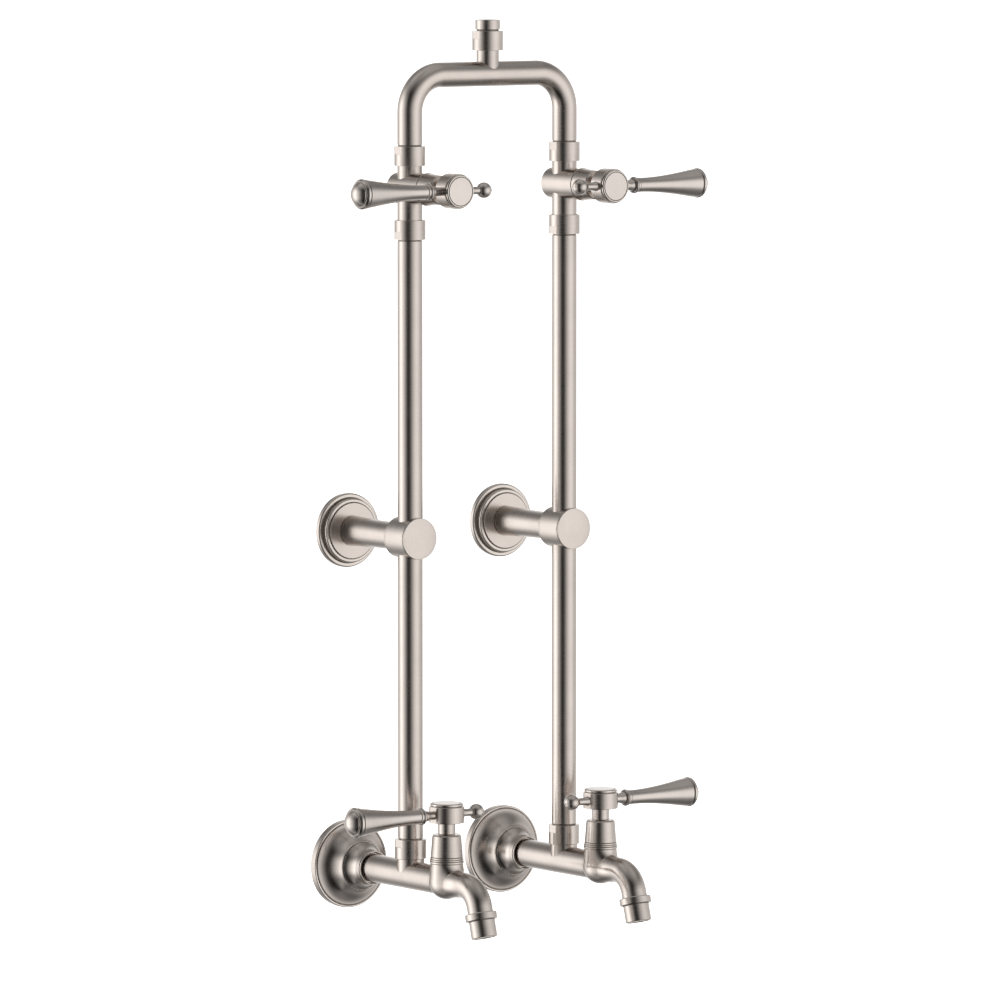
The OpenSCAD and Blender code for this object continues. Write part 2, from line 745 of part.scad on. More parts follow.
// Lever: threaded root, waisted stem, bead, trumpet grip, ring and domed end
module lever() {
    root = hub_flats / 2;
    bead = 32.4;
    bead_r = grip_d / 2 + 1.3;
    grip_start = 37.4;
    grip_end = lever_l - 13.4;
    ring_r = lever_d / 2;
    dome_r = ring_r * 0.8;
    dome_h = 6.8;
    dome_round = (dome_r * dome_r + dome_h * dome_h) / (2 * dome_h);
    dome_angle = asin(dome_r / dome_round);
    dome_foot = lever_l - dome_h;
    steps = 20;
    outline = concat(
        [[0, root - socket_depth], [socket_r, root - socket_depth], [socket_r, root]],
        [[4.6, root], [4.5, root + 3], [4.9, root + 6.2], [5.6, root + 9]],
        [[6.3, bead - 2.7], [7.3, bead - 1.7]],
        arc([bead_r - 1.6, bead], 1.6, -50, 70, 6),
        [[bead_r - 0.9, bead + 2], [bead_r - 0.9, grip_start - 1.4]],
        [[grip_d / 2 - 0.2, grip_start - 1.1]],
        [for (i = [0:steps])
            [grip_radius(i / steps), grip_start + (grip_end - grip_start) * i / steps]],
        [[ring_r - 1.6, grip_end + 0.7]],
        arc([ring_r - 1.5, grip_end + 2.4], 1.5, -50, 60, 6),
        [[dome_r + 1.2, dome_foot - 0.5], [dome_r + 0.8, dome_foot - 0.8]],
        [[dome_r, dome_foot - 0.8]],
        [for (i = [0:10]) let (a = dome_angle * (1 - i / 10))
            [dome_round * sin(a), lever_l - dome_round * (1 - cos(a))]]
    );
    color(NICKEL) translate([0, 0, lever_z]) rotate([0, -90, 0])
        rotate_extrude() polygon(outline);
}

// Finial: threaded root, flared neck and ball
module finial() {
    root = hub_flats / 2;
    ball = finial_d / 2;
    neck_angle = -58;
    outline = concat(
        [[0, root - socket_depth], [socket_r, root - socket_depth], [socket_r, root]],
        [[5.1, root], [4.8, root + 1.6], [4.2, root + 4.4], [3.9, root + 8]],
        [[4, finial_reach - ball]],
        arc([0, finial_reach], ball, neck_angle, 90, 20)
    );
    color(NICKEL) translate([0, 0, lever_z]) rotate([0, 90, 0])
        rotate_extrude() polygon(outline);
}

// --- Groups that repeat in all four handle sets ------------------------------

// Puts a piece in each of the four handle frames
module at_all_seats() {
    for (entry = SIDES) {
        at_tap(entry[1]) children();
        at_valve(entry[1]) children();
    }
}

module cartridges() {
    color(BRASS) at_all_seats() cartridge();
}

module fixed_discs() {
    color(CERAMIC) at_all_seats() ceramic_disc(disc_foot_z);
}

// Rubber rings between each fixed disc and the floor of its body
module cartridge_seals() {
    color(RUBBER) at_all_seats() ring(disc_r - 0.2, 6.2, -cage_l - turn_gap, disc_foot_z);
}

// --- Wall brackets ---------------------------------------------------------

// Stepped flange of a bracket
module bracket_flange(side) {
    rim_r = rose_d / 2;
    face_r = rim_r * 0.75;
    step_r = rim_r * 0.865;
    hole_r = 12 + fit;
    skin = 3;
    outline = concat(
        [[hole_r, 4], [rim_r - 6, 4], [rim_r - 6, 0], [rim_r, 0]],
        arc([rim_r - 3.2, 2.6], 3.2, 0, 90, 8),
        [[step_r + 1.2, 5.6], [step_r + 0.2, 5.2]],
        arc([step_r - 3, rose_face - 4.4], 3, 0, 90, 8),
        [[face_r + 1, rose_face - 1.4], [face_r + 0.3, rose_face - 1.2]],
        [[face_r, rose_face - 0.4], [face_r - 0.5, rose_face]],
        [[hole_r, rose_face]]
    );
    color(NICKEL) translate([side * half_spacing, 0, bracket_height]) rotate([90, 0, 0])
        rotate_extrude() polygon(outline);
}

// Arm from the wall to the collar that grips the riser
module bracket_arm(side) {
    color(NICKEL) translate([side * half_spacing, 0, bracket_height]) difference() {
        union() {
            rotate([90, 0, 0]) rotate_extrude() polygon([
                [0, 0], [12, 0], [12, rose_face], [arm_d / 2 - 0.4, rose_face],
                [arm_d / 2, rose_face + 0.4], [arm_d / 2 - 0.6, rose_face + 12],
                [arm_end_d / 2 + 0.2, rose_face + 45],
                [arm_end_d / 2, clamp_back + 1], [0, clamp_back + 1]
            ]);
            translate([0, -clamp_back, 0]) rotate([90, 0, 0]) rotate_extrude() polygon([
                [0, 0], [clamp_d / 2 - 0.7, 0], [clamp_d / 2, 0.7],
                [clamp_d / 2, clamp_l - cap_t - cap_gap], [0, clamp_l - cap_t - cap_gap]
            ]);
        }
        translate([0, -riser_reach, -clamp_d]) cylinder(r = tube_r + fit, h = 2 * clamp_d);
        out_of_wall(bolt_d / 2, -1, bolt_l);
        translate([0, -riser_reach, 0]) rotate([0, 90, 0]) cylinder(r = grub_r + fit, h = clamp_d);
    }
}

// Domed caps on the fronts of the two collars
module bracket_caps() {
    front = clamp_front - cap_t;
    dome = 1.1;
    r = clamp_d / 2;
    steps = 10;
    crown = [for (i = [0:steps]) let (t = i / steps)
        [(r - 0.6) * (1 - t), front + cap_t + dome * (1 - pow(1 - t, 2))]];
    color(NICKEL) for (x = [-half_spacing, half_spacing])
        translate([x, 0, bracket_height]) rotate([90, 0, 0]) rotate_extrude() polygon(concat(
            [[0, front - cap_gap], [r - 1.6, front - cap_gap], [r - 1.6, front], [r, front]],
            [[r, front + cap_t - 0.5]], crown
        ));
}

// Grub screws that lock the collars on the risers
module grub_screws() {
    socket = 1.25;
    end = tube_r + 0.05;
    color(BRASS) for (x = [-half_spacing, half_spacing])
        translate([x + end, -riser_reach, bracket_height]) rotate([0, 90, 0]) difference() {
            cylinder(r = grub_r, h = 6);
            translate([0, 0, 3]) cylinder(r = socket, h = 4, $fn = 6);
        }
}

// --- Bonnets by place --------------------------------------------------------

module tap_bonnet(side) {
    color(NICKEL) at_tap(side) bonnet();
}

module valve_bonnet(side) {
    color(NICKEL) at_valve(side) bonnet();
}

wall_flange(-1);  // hot_wall_flange
wall_flange(1);  // cold_wall_flange
inlet_tee(-1);  // hot_inlet_tee
inlet_tee(1);  // cold_inlet_tee
inlet_nipples();
tap_body(-1);  // hot_tap_body
tap_body(1);  // cold_tap_body
outlet(-1);  // hot_outlet
outlet(1);  // cold_outlet
aerators();
outlet_washers();
tap_bonnet(-1);  // hot_tap_bonnet
tap_bonnet(1);  // cold_tap_bonnet
valve_bonnet(-1);  // hot_valve_bonnet
valve_bonnet(1);  // cold_valve_bonnet
cartridges();
fixed_discs();
cartridge_seals();
at_tap(-1) spindle();  // hot_tap_spindle
at_tap(-1) turning_disc();  // hot_tap_disc
at_tap(-1) hub();  // hot_tap_hub
at_tap(-1) hub_screw();  // hot_tap_screw
at_tap(-1) index_button();  // hot_tap_index
at_tap(-1) lever();  // hot_tap_lever
at_tap(-1) finial();  // hot_tap_finial
at_tap(1) spindle();  // cold_tap_spindle
at_tap(1) turning_disc();  // cold_tap_disc
at_tap(1) hub();  // cold_tap_hub
at_tap(1) hub_screw();  // cold_tap_screw
at_tap(1) index_button();  // cold_tap_index
at_tap(1) lever();  // cold_tap_lever
at_tap(1) finial();  // cold_tap_finial
at_valve(-1) spindle();  // hot_valve_spindle
at_valve(-1) turning_disc();  // hot_valve_disc
at_valve(-1) hub();  // hot_valve_hub
at_valve(-1) hub_screw();  // hot_valve_screw
at_valve(-1) index_button();  // hot_valve_index
at_valve(-1) lever();  // hot_valve_lever
at_valve(-1) finial();  // hot_valve_finial
at_valve(1) spindle();  // cold_valve_spindle
at_valve(1) turning_disc();  // cold_valve_disc
at_valve(1) hub();  // cold_valve_hub
at_valve(1) hub_screw();  // cold_valve_screw
at_valve(1) index_button();  // cold_valve_index
at_valve(1) lever();  // cold_valve_lever
at_valve(1) finial();  // cold_valve_finial
riser(-1);  // hot_riser
riser(1);  // cold_riser
valve_body(-1);  // hot_valve_body
valve_body(1);  // cold_valve_body
bridge_tube();
top_tail();
union_nuts();
union_washers();
bracket_flange(-1);  // hot_bracket_flange
bracket_flange(1);  // cold_bracket_flange
bracket_arm(-1);  // hot_bracket_arm
bracket_arm(1);  // cold_bracket_arm
bracket_caps();
grub_screws();
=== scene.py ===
"""Looks of an exposed twin-riser shower column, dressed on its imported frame.

Every visible metal piece is a surface worked out with numpy: an outline of radius against height with
rounded corners, carried round a straight or bent route. Sizes are in millimetres until a point is placed.
"""

import json
import logging
import math
from dataclasses import dataclass, field
from enum import Enum
from typing import Callable, Optional, Sequence

import bpy
import numpy as np
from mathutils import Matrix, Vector


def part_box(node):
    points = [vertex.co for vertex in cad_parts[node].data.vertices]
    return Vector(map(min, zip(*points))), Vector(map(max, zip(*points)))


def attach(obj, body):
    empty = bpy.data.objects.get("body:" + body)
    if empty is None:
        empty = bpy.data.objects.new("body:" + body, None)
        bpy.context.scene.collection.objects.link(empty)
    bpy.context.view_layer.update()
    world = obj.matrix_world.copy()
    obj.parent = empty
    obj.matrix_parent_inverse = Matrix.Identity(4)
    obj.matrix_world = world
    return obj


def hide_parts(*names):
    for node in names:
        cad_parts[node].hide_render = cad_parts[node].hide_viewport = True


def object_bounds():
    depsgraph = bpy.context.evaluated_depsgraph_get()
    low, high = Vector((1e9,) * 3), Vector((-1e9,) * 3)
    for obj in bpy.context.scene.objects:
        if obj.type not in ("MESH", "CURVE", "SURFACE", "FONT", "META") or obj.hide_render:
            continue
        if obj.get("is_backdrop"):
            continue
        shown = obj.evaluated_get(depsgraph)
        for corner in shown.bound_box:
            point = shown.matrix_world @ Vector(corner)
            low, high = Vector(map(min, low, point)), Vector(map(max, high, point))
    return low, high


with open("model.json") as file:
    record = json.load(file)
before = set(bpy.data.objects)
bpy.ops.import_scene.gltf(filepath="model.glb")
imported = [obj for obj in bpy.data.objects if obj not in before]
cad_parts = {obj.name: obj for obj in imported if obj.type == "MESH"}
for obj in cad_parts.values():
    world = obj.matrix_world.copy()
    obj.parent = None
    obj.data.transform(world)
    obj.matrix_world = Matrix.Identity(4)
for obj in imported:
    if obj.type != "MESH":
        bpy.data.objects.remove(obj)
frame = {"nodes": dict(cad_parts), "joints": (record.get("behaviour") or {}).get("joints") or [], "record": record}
CAD_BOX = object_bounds()

LOG = logging.getLogger("shower_column")
MM = 0.001
Array = np.ndarray
Triple = tuple[float, float, float]
Shaper = Callable[[Array, Array, Array], tuple[Array, Array]]


class Side(Enum):
    """The two sides of the column, with the direction of each along the wall."""

    HOT = -1
    COLD = 1

    @property
    def word(self) -> str:
        """The side's name as it stands in piece names."""
        return self.name.lower()


class Service(Enum):
    """What a handle set works."""

    TAP = "tap"
    VALVE = "valve"


class Body(Enum):
    """The rigid body that holds everything but the handles."""

    COLUMN = "column"


class Lay(Enum):
    """Which way a metal piece's fine finishing lines run."""

    ROUND = "round"
    LENGTHWISE = "lengthwise"


# --- Outlines ----------------------------------------------------------------


@dataclass
class Outline:
    """Points of a lathe outline with their outward directions.

    Attributes:
        spot: radius and height of each point.
        way: outward direction of each point, in the same two axes.
        rub: 1 where a convex corner wears, else 0.
        nook: 1 in a concave corner, else 0.
        closed: whether the last point joins the first.
    """

    spot: Array
    way: Array
    rub: Array
    nook: Array
    closed: bool

    @property
    def travel(self) -> Array:
        """Distance walked along the outline to each point."""
        step = np.linalg.norm(np.diff(self.spot, axis=0), axis=1)
        return np.concatenate([[0.0], np.cumsum(step)])

    def with_stations(self, heights: Array) -> "Outline":
        """Adds points where the outline crosses the given heights, by linear blending.

        Args:
            heights: heights at which a point is wanted on every stretch that crosses them.

        Returns:
            The outline with the new points in order.
        """
        low, high = self.spot[:-1, 1:2] - heights, self.spot[1:, 1:2] - heights
        stretch, which = np.nonzero(low * high < -1e-6)
        share = (low[stretch, which] / (low[stretch, which] - high[stretch, which]))[:, None]
        order = np.argsort(np.concatenate([np.arange(len(self.spot)), stretch + share[:, 0]]), kind="stable")
        blend = lambda a: np.concatenate([a, a[stretch] * (1 - share) + a[stretch + 1] * share])[order]
        flat = lambda a: blend(a[:, None])[:, 0]
        return Outline(blend(self.spot), blend(self.way), flat(self.rub), flat(self.nook), self.closed)


def rounded(corners: Sequence[Sequence[float]], closed: bool = True, steps: int = 4,
            hold: float = 0.7) -> Outline:
    """Rounds an outline's corners with true arcs and holds the flats next to them.

    At a corner that turns by t with fillet f, the arc starts f * tan(t / 2) before it and its outward
    direction swings evenly from one side's to the other's. A fillet of 0 marks a point of a smooth curve.

    Args:
        corners: radius, height and fillet of each corner, with the solid on the left of the walk.
        closed: whether the outline is a ring; otherwise it starts and ends on the axis.
        steps: how many chords make one arc.
        hold: how far from each corner a flat gets one more point.

    Returns:
        The rounded outline.
    """
    data = np.asarray(corners, float)
    spot, fillet = data[:, :2], data[:, 2]
    back, ahead = spot - np.roll(spot, 1, 0), np.roll(spot, -1, 0) - spot
    if not closed:
        back[0], ahead[-1] = ahead[0], back[-1]
    size_back, size_ahead = np.linalg.norm(back, axis=1), np.linalg.norm(ahead, axis=1)
    before, after = back / size_back[:, None], ahead / size_ahead[:, None]
    turn = np.arctan2(before[:, 0] * after[:, 1] - before[:, 1] * after[:, 0], (before * after).sum(1))
    slope = np.maximum(np.abs(np.tan(turn / 2)), 1e-9)
    reach = np.minimum(fillet * slope, 0.49 * np.minimum(size_back, size_ahead))
    bend = np.where(turn < 0, -1.0, 1.0) * reach / slope
    right = np.stack([before[:, 1], -before[:, 0]], 1)
    swing = turn[:, None] * np.linspace(0, 1, steps + 1)
    way = np.stack([right[:, :1] * np.cos(swing) - right[:, 1:] * np.sin(swing),
                    right[:, :1] * np.sin(swing) + right[:, 1:] * np.cos(swing)], 2)
    start = spot - before * reach[:, None]
    arc = (start - bend[:, None] * right)[:, None] + bend[:, None, None] * way
    keep = np.repeat((reach > 1e-6)[:, None], steps + 1, 1)
    keep[:, steps // 2] = True
    sharp = np.repeat(np.abs(turn)[:, None] > 0.35, steps + 1, 1)
    convex = np.repeat(turn[:, None] > 0, steps + 1, 1)

    leave, arrive = arc[:, -1], np.roll(arc[:, 0], -1, 0)
    gap = np.linalg.norm(arrive - leave, axis=1)
    span = np.stack([leave + after * hold, arrive - after * hold], 1)
    out = np.repeat(np.stack([after[:, 1], -after[:, 0]], 1)[:, None], 2, 1)
    long = np.repeat((gap > 3 * hold)[:, None], 2, 1)
    if not closed:
        long[-1] = False
    none = np.zeros((len(spot), 2))
    stack = lambda a, b: np.concatenate([a, b], 1)
    mask = stack(keep, long).ravel()
    flat = lambda a, b: stack(a, b).reshape(len(mask), -1)[mask]
    return Outline(flat(arc, span), flat(way, out), flat((sharp & convex) * 1.0, none)[:, 0],
                   flat((sharp & ~convex) * 1.0, none)[:, 0], closed)


def curve(start: Sequence[float], end: Sequence[float], lean: tuple[float, float], count: int = 24) -> list:
    """Points of a concave flare whose slope turns evenly between two lean angles.

    Args:
        start: radius and height where it starts.
        end: radius and height where it ends.
        lean: angles off the flange's face at the start and the end, in degrees.
        count: how many chords make it.

    Returns:
        Corners for `rounded`, with no fillets.
    """
    a, b = np.radians(lean)
    t = np.linspace(a, b, count + 1)
    r = start[0] - (start[0] - end[0]) * (np.sin(t) - math.sin(a)) / (math.sin(b) - math.sin(a))
    h = start[1] + (end[1] - start[1]) * (math.cos(a) - np.cos(t)) / (math.cos(a) - math.cos(b))
    return np.stack([r, h, 0 * t], 1).tolist()


def arc(centre: Sequence[float], radius: float, span: tuple[float, float], count: int = 16) -> list:
    """Corners along a circle's arc, from one angle to another in degrees, with no fillets."""
    t = np.radians(np.linspace(*span, count + 1))
    return np.stack([centre[0] + radius * np.cos(t), centre[1] + radius * np.sin(t), 0 * t], 1).tolist()


def smooth(knots: Sequence[Sequence[float]], count: int = 40) -> list:
    """Corners along the smoothest curve through radius-and-height knots.

    It is a Catmull-Rom curve: between two knots a cubic whose end slopes follow the knots around them.

    Args:
        knots: radius and height of each knot.
        count: how many points the curve gets.

    Returns:
        Corners for `rounded`, with no fillets.
    """
    k = np.asarray(knots, float)
    slope = np.gradient(k[:, 0], k[:, 1])
    h = np.linspace(k[0, 1], k[-1, 1], count)
    i = np.clip(np.searchsorted(k[:, 1], h, side="right") - 1, 0, len(k) - 2)
    size = k[i + 1, 1] - k[i, 1]
    t = (h - k[i, 1]) / size
    r = ((2 * t**3 - 3 * t**2 + 1) * k[i, 0] + (t**3 - 2 * t**2 + t) * size * slope[i]
         + (3 * t**2 - 2 * t**3) * k[i + 1, 0] + (t**3 - t**2) * size * slope[i + 1])
    return np.stack([r, h, 0 * h], 1).tolist()


# --- Routes and skins ----------------------------------------------------------


@dataclass(frozen=True)
class Stance:
    """A place in the row frame and its axes.

    Attributes:
        origin: the place, in metres.
        along: direction that heights run in.
        out: direction square to it, where a turn starts.
    """

    origin: Triple
    along: Triple
    out: Triple

    @property
    def axes(self) -> Array:
        """Rows out, across and along, right-handed."""
        along, out = np.asarray(self.along, float), np.asarray(self.out, float)
        return np.stack([out, np.cross(along, out), along])

    def shifted(self, height: float) -> "Stance":
        """The same axes, further along by a height in millimetres."""
        place = np.asarray(self.origin) + np.asarray(self.along) * height * MM
        return Stance(tuple(place), self.along, self.out)

    def lying(self, height: float, flip: bool = False) -> "Stance":
        """Axes that run along this stance's out direction, or against it, from a height."""
        sign = -1.0 if flip else 1.0
        heading = tuple(sign * c for c in self.out)
        return Stance(self.shifted(height).origin, heading, self.along)


@dataclass(frozen=True)
class Leg:
    """One stretch of a bent route: its length, and its bend radius or 0 where it is straight."""

    length: float
    radius: float = 0.0


@dataclass(frozen=True)
class Route:
    """A flat centreline of straight and bent legs; with no legs it is the stance's own axis.

    Attributes:
        stance: where it starts; bends turn towards its out direction.
        legs: the stretches in order; the last one goes on for ever.
    """

    stance: Stance
    legs: tuple[Leg, ...] = ()

    @property
    def stations(self) -> Array:
        """Heights that the bends need points at: every 3 degrees or so of each bend."""
        starts = np.concatenate([[0.0], np.cumsum([leg.length for leg in self.legs])])
        parts = [np.linspace(a, a + leg.length, 2 + int(leg.length / leg.radius / 0.05))
                 for a, leg in zip(starts, self.legs) if leg.radius]
        return np.concatenate(parts) if parts else np.zeros(0)

    def follow(self, height: Array) -> tuple[Array, Array, Array]:
        """Centre, heading and inward direction at each height.

        On a leg with curvature k that starts at heading a, the heading is a + k * d after a distance d,
        and the place moves by (sin(a + k d) - sin a) / k ahead and (cos a - cos(a + k d)) / k inward.

        Args:
            height: distances along the route.

        Returns:
            Local points as (inward, 0, ahead), headings and inward directions, all in the stance's axes.
        """
        zero = 0 * height
        if not self.legs:
            return (np.stack([zero, zero, height], 1), np.stack([zero, zero, zero + 1], 1),
                    np.stack([zero + 1, zero, zero], 1))
        length = np.array([leg.length for leg in self.legs])
        bend = np.array([1 / leg.radius if leg.radius else 1e-9 for leg in self.legs])
        began = np.concatenate([[0.0], np.cumsum(length)[:-1]])
        angle = np.concatenate([[0.0], np.cumsum(length * bend)[:-1]])
        ahead = (np.sin(angle + bend * length) - np.sin(angle)) / bend
        inward = (np.cos(angle) - np.cos(angle + bend * length)) / bend
        from_ahead = np.concatenate([[0.0], np.cumsum(ahead)[:-1]])
        from_in = np.concatenate([[0.0], np.cumsum(inward)[:-1]])
        i = np.clip(np.searchsorted(began, height, side="right") - 1, 0, len(began) - 1)
        now = angle[i] + bend[i] * (height - began[i])
        z = from_ahead[i] + (np.sin(now) - np.sin(angle[i])) / bend[i]
        x = from_in[i] + (np.cos(angle[i]) - np.cos(now)) / bend[i]
        return (np.stack([x, zero, z], 1), np.stack([np.sin(now), zero, np.cos(now)], 1),
                np.stack([np.cos(now), zero, -np.sin(now)], 1))


@dataclass
class Skin:
    """A closed surface ready for a mesh: points, outward directions, faces and point masks."""

    points: Array
    ways: Array
    quads: Array
    fans: Array
    run: Array
    rub: Array
    nook: Array

    @staticmethod
    def joined(skins: Sequence["Skin"]) -> "Skin":
        """Several skins as one mesh, with their faces renumbered."""
        base = np.cumsum([0] + [len(s.points) for s in skins[:-1]])
        cat = lambda name: np.concatenate([getattr(s, name) for s in skins])
        return Skin(cat("points"), cat("ways"), np.concatenate([s.quads + b for s, b in zip(skins, base)]),
                    np.concatenate([s.fans + b for s, b in zip(skins, base)]), cat("run"), cat("rub"),
                    cat("nook"))


def carried(outline: Outline, route: Route, turns: int = 96, shaper: Optional[Shaper] = None,
            angles: Optional[Array] = None) -> Skin:
    """Carries an outline round a route.

    The point at height h, radius r and turn a lies at the route's centre at h plus r times the direction
    (inward * cos a + across * sin a); its outward direction is made of the same parts. An outline's ends
    that lie on the axis become single points, closed with a fan of triangles.

    Args:
        outline: the lathe outline.
        route: the centreline that its heights run along.
        turns: how many points make one turn.
        shaper: changes points and outward directions before they are bent, such as to cut flats.
        angles: the turns' own angles, where they aren't even.

    Returns:
        The skin, placed in the row frame.
    """
    outline = outline.with_stations(route.stations) if route.legs else outline
    spin = np.arange(turns) * (2 * np.pi / turns) if angles is None else np.asarray(angles)
    turns = len(spin)
    cos, sin = np.cos(spin), np.sin(spin)
    radius, height = outline.spot[:, 0], outline.spot[:, 1]
    local = np.stack([radius[:, None] * cos, radius[:, None] * sin, np.repeat(height[:, None], turns, 1)], 2)
    way = np.stack([outline.way[:, :1] * cos, outline.way[:, :1] * sin,
                    np.repeat(outline.way[:, 1:], turns, 1)], 2)
    if shaper is not None:
        local, way = shaper(local, way, outline.spot)
    centre, heading, inward = route.follow(height)
    across = np.array([0.0, 1.0, 0.0])
    put = lambda a: (a[..., :1] * inward[:, None] + a[..., 1:2] * across + a[..., 2:] * heading[:, None])
    flat = np.concatenate([local[..., :2], 0 * local[..., 2:]], 2)
    points, ways = centre[:, None] + put(flat), put(way)
    run = np.stack([np.repeat(outline.travel[:, None], turns, 1) * MM,
                    np.broadcast_to(cos, points.shape[:2]), np.broadcast_to(sin, points.shape[:2])], 2)
    wide = lambda a: np.repeat(a[:, None], turns, 1)
    rub, nook = wide(outline.rub), wide(outline.nook)

    tips = [] if outline.closed else [0, len(radius) - 1]
    body = np.arange(len(radius)) if outline.closed else np.arange(1, len(radius) - 1)
    grid = np.arange(len(body) * turns).reshape(len(body), turns)
    low = grid if outline.closed else grid[:-1]
    high = np.roll(grid, -1, 0) if outline.closed else grid[1:]
    quads = np.stack([low, np.roll(low, -1, 1), np.roll(high, -1, 1), high], 2).reshape(-1, 4)
    fans = np.zeros((0, 3), int)
    if tips:
        first, last = grid.size, grid.size + 1
        fill = np.zeros_like(grid[0])
        fans = np.concatenate([np.stack([fill + first, np.roll(grid[0], -1), grid[0]], 1),
                               np.stack([fill + last, grid[-1], np.roll(grid[-1], -1)], 1)])
    pick = lambda a: np.concatenate([a[body].reshape((-1,) + a.shape[2:]), a[tips, 0]])
    axes = route.stance.axes
    ways = pick(ways)
    if tips:
        flatness = np.abs(outline.way[tips, 1:])
        ways[-2:] = np.where(flatness > 0.5, heading[tips] * np.sign(outline.way[tips, 1:]), ways[-2:])
    ways /= np.maximum(np.linalg.norm(ways, axis=1), 1e-9)[:, None]
    return Skin(pick(points) @ axes * MM + np.asarray(route.stance.origin), ways @ axes, quads, fans,
                pick(run), pick(rub), pick(nook))


@dataclass(frozen=True)
class Flats:
    """Two flats cut square to the out direction, each with a soft edge.

    Attributes:
        reach: distance of each flat from the axis.
        start: height the flats start at, with a square shoulder there.
        soft: half the width of the soft edge.
    """

    reach: float
    start: float = -1e6
    soft: float = 0.1

    def angles(self, radius: float, turns: int = 96) -> Array:
        """Even turns plus a few that lie on the flats' edges."""
        edge = np.arccos(np.clip((self.reach + self.soft * np.array([-1, -0.4, 0.2, 1.0])) / radius, -1, 1))
        extra = np.concatenate([edge, -edge, np.pi - edge, np.pi + edge]) % (2 * np.pi)
        even = np.arange(turns) * (2 * np.pi / turns)
        clear = np.abs((even[:, None] - extra + np.pi) % (2 * np.pi) - np.pi).min(1) > 0.012
        return np.sort(np.concatenate([even[clear], extra]))

    def __call__(self, local: Array, way: Array, spot: Array) -> tuple[Array, Array]:
        """Pulls in what stands past a flat.

        The distance x from the axis becomes x up to the soft edge, then follows a parabola that levels
        out at the flat. A direction's other parts shrink by the parabola's slope, so they fade on the flat.

        Args:
            local: points, row by row.
            way: their outward directions.
            spot: radius and height of each row.

        Returns:
            The cut points and directions.
        """
        x = local[..., 0]
        begin = self.reach - self.soft
        t = np.clip((np.abs(x) - begin) / (2 * self.soft), 0, 1)
        cut = np.where(np.abs(x) < begin, np.abs(x), begin + 2 * self.soft * (t - t * t / 2)) * np.sign(x)
        held = (spot[:, 1] >= self.start)[:, None]
        slope = np.maximum(1 - t, 1e-3) if self.start < -1e5 else np.where(held, np.maximum(1 - t, 1e-3), 1.0)
        new_way = np.stack([way[..., 0], way[..., 1] * slope, way[..., 2] * slope], 2)
        new_way /= np.linalg.norm(new_way, axis=2)[..., None]
        shoulder = ((np.abs(spot[:, 1] - self.start) < 0.055)[:, None] & (np.abs(x) > self.reach))
        new_way = np.where(shoulder[..., None], np.array([0.0, 0.0, 1.0]), new_way)
        moved = np.concatenate([np.where(held, cut, x)[..., None], local[..., 1:]], 2)
        return moved, new_way


def piece(name: str, skin: Skin, finish: bpy.types.Material, body: str, nodes: Sequence[str]) -> bpy.types.Object:
    """Makes a skin into an object that rides on a body and stands for its CAD nodes.

    Args:
        name: the piece's name.
        skin: its surface.
        finish: its material.
        body: the body it moves with.
        nodes: the CAD nodes that it replaces.

    Returns:
        The new object.
    """
    mesh = bpy.data.meshes.new(name)
    mesh.from_pydata(skin.points.tolist(), [], skin.quads.tolist() + skin.fans.tolist())
    mesh.polygons.foreach_set("use_smooth", np.ones(len(mesh.polygons), bool))
    mesh.attributes.new("run", "FLOAT_VECTOR", "POINT").data.foreach_set("vector", skin.run.ravel())
    mesh.attributes.new("rub", "FLOAT", "POINT").data.foreach_set("value", skin.rub)
    mesh.attributes.new("nook", "FLOAT", "POINT").data.foreach_set("value", skin.nook)
    mesh.normals_split_custom_set_from_vertices(skin.ways.tolist())
    mesh.materials.append(finish)
    mesh.update()
    obj = bpy.data.objects.new(name, mesh)
    bpy.context.scene.collection.objects.link(obj)
    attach(obj, body)
    if nodes:
        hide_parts(*nodes)
    LOG.info("%s: %d points, rides on %s", name, len(mesh.vertices), body)
    return obj


# --- Shader groups -------------------------------------------------------------


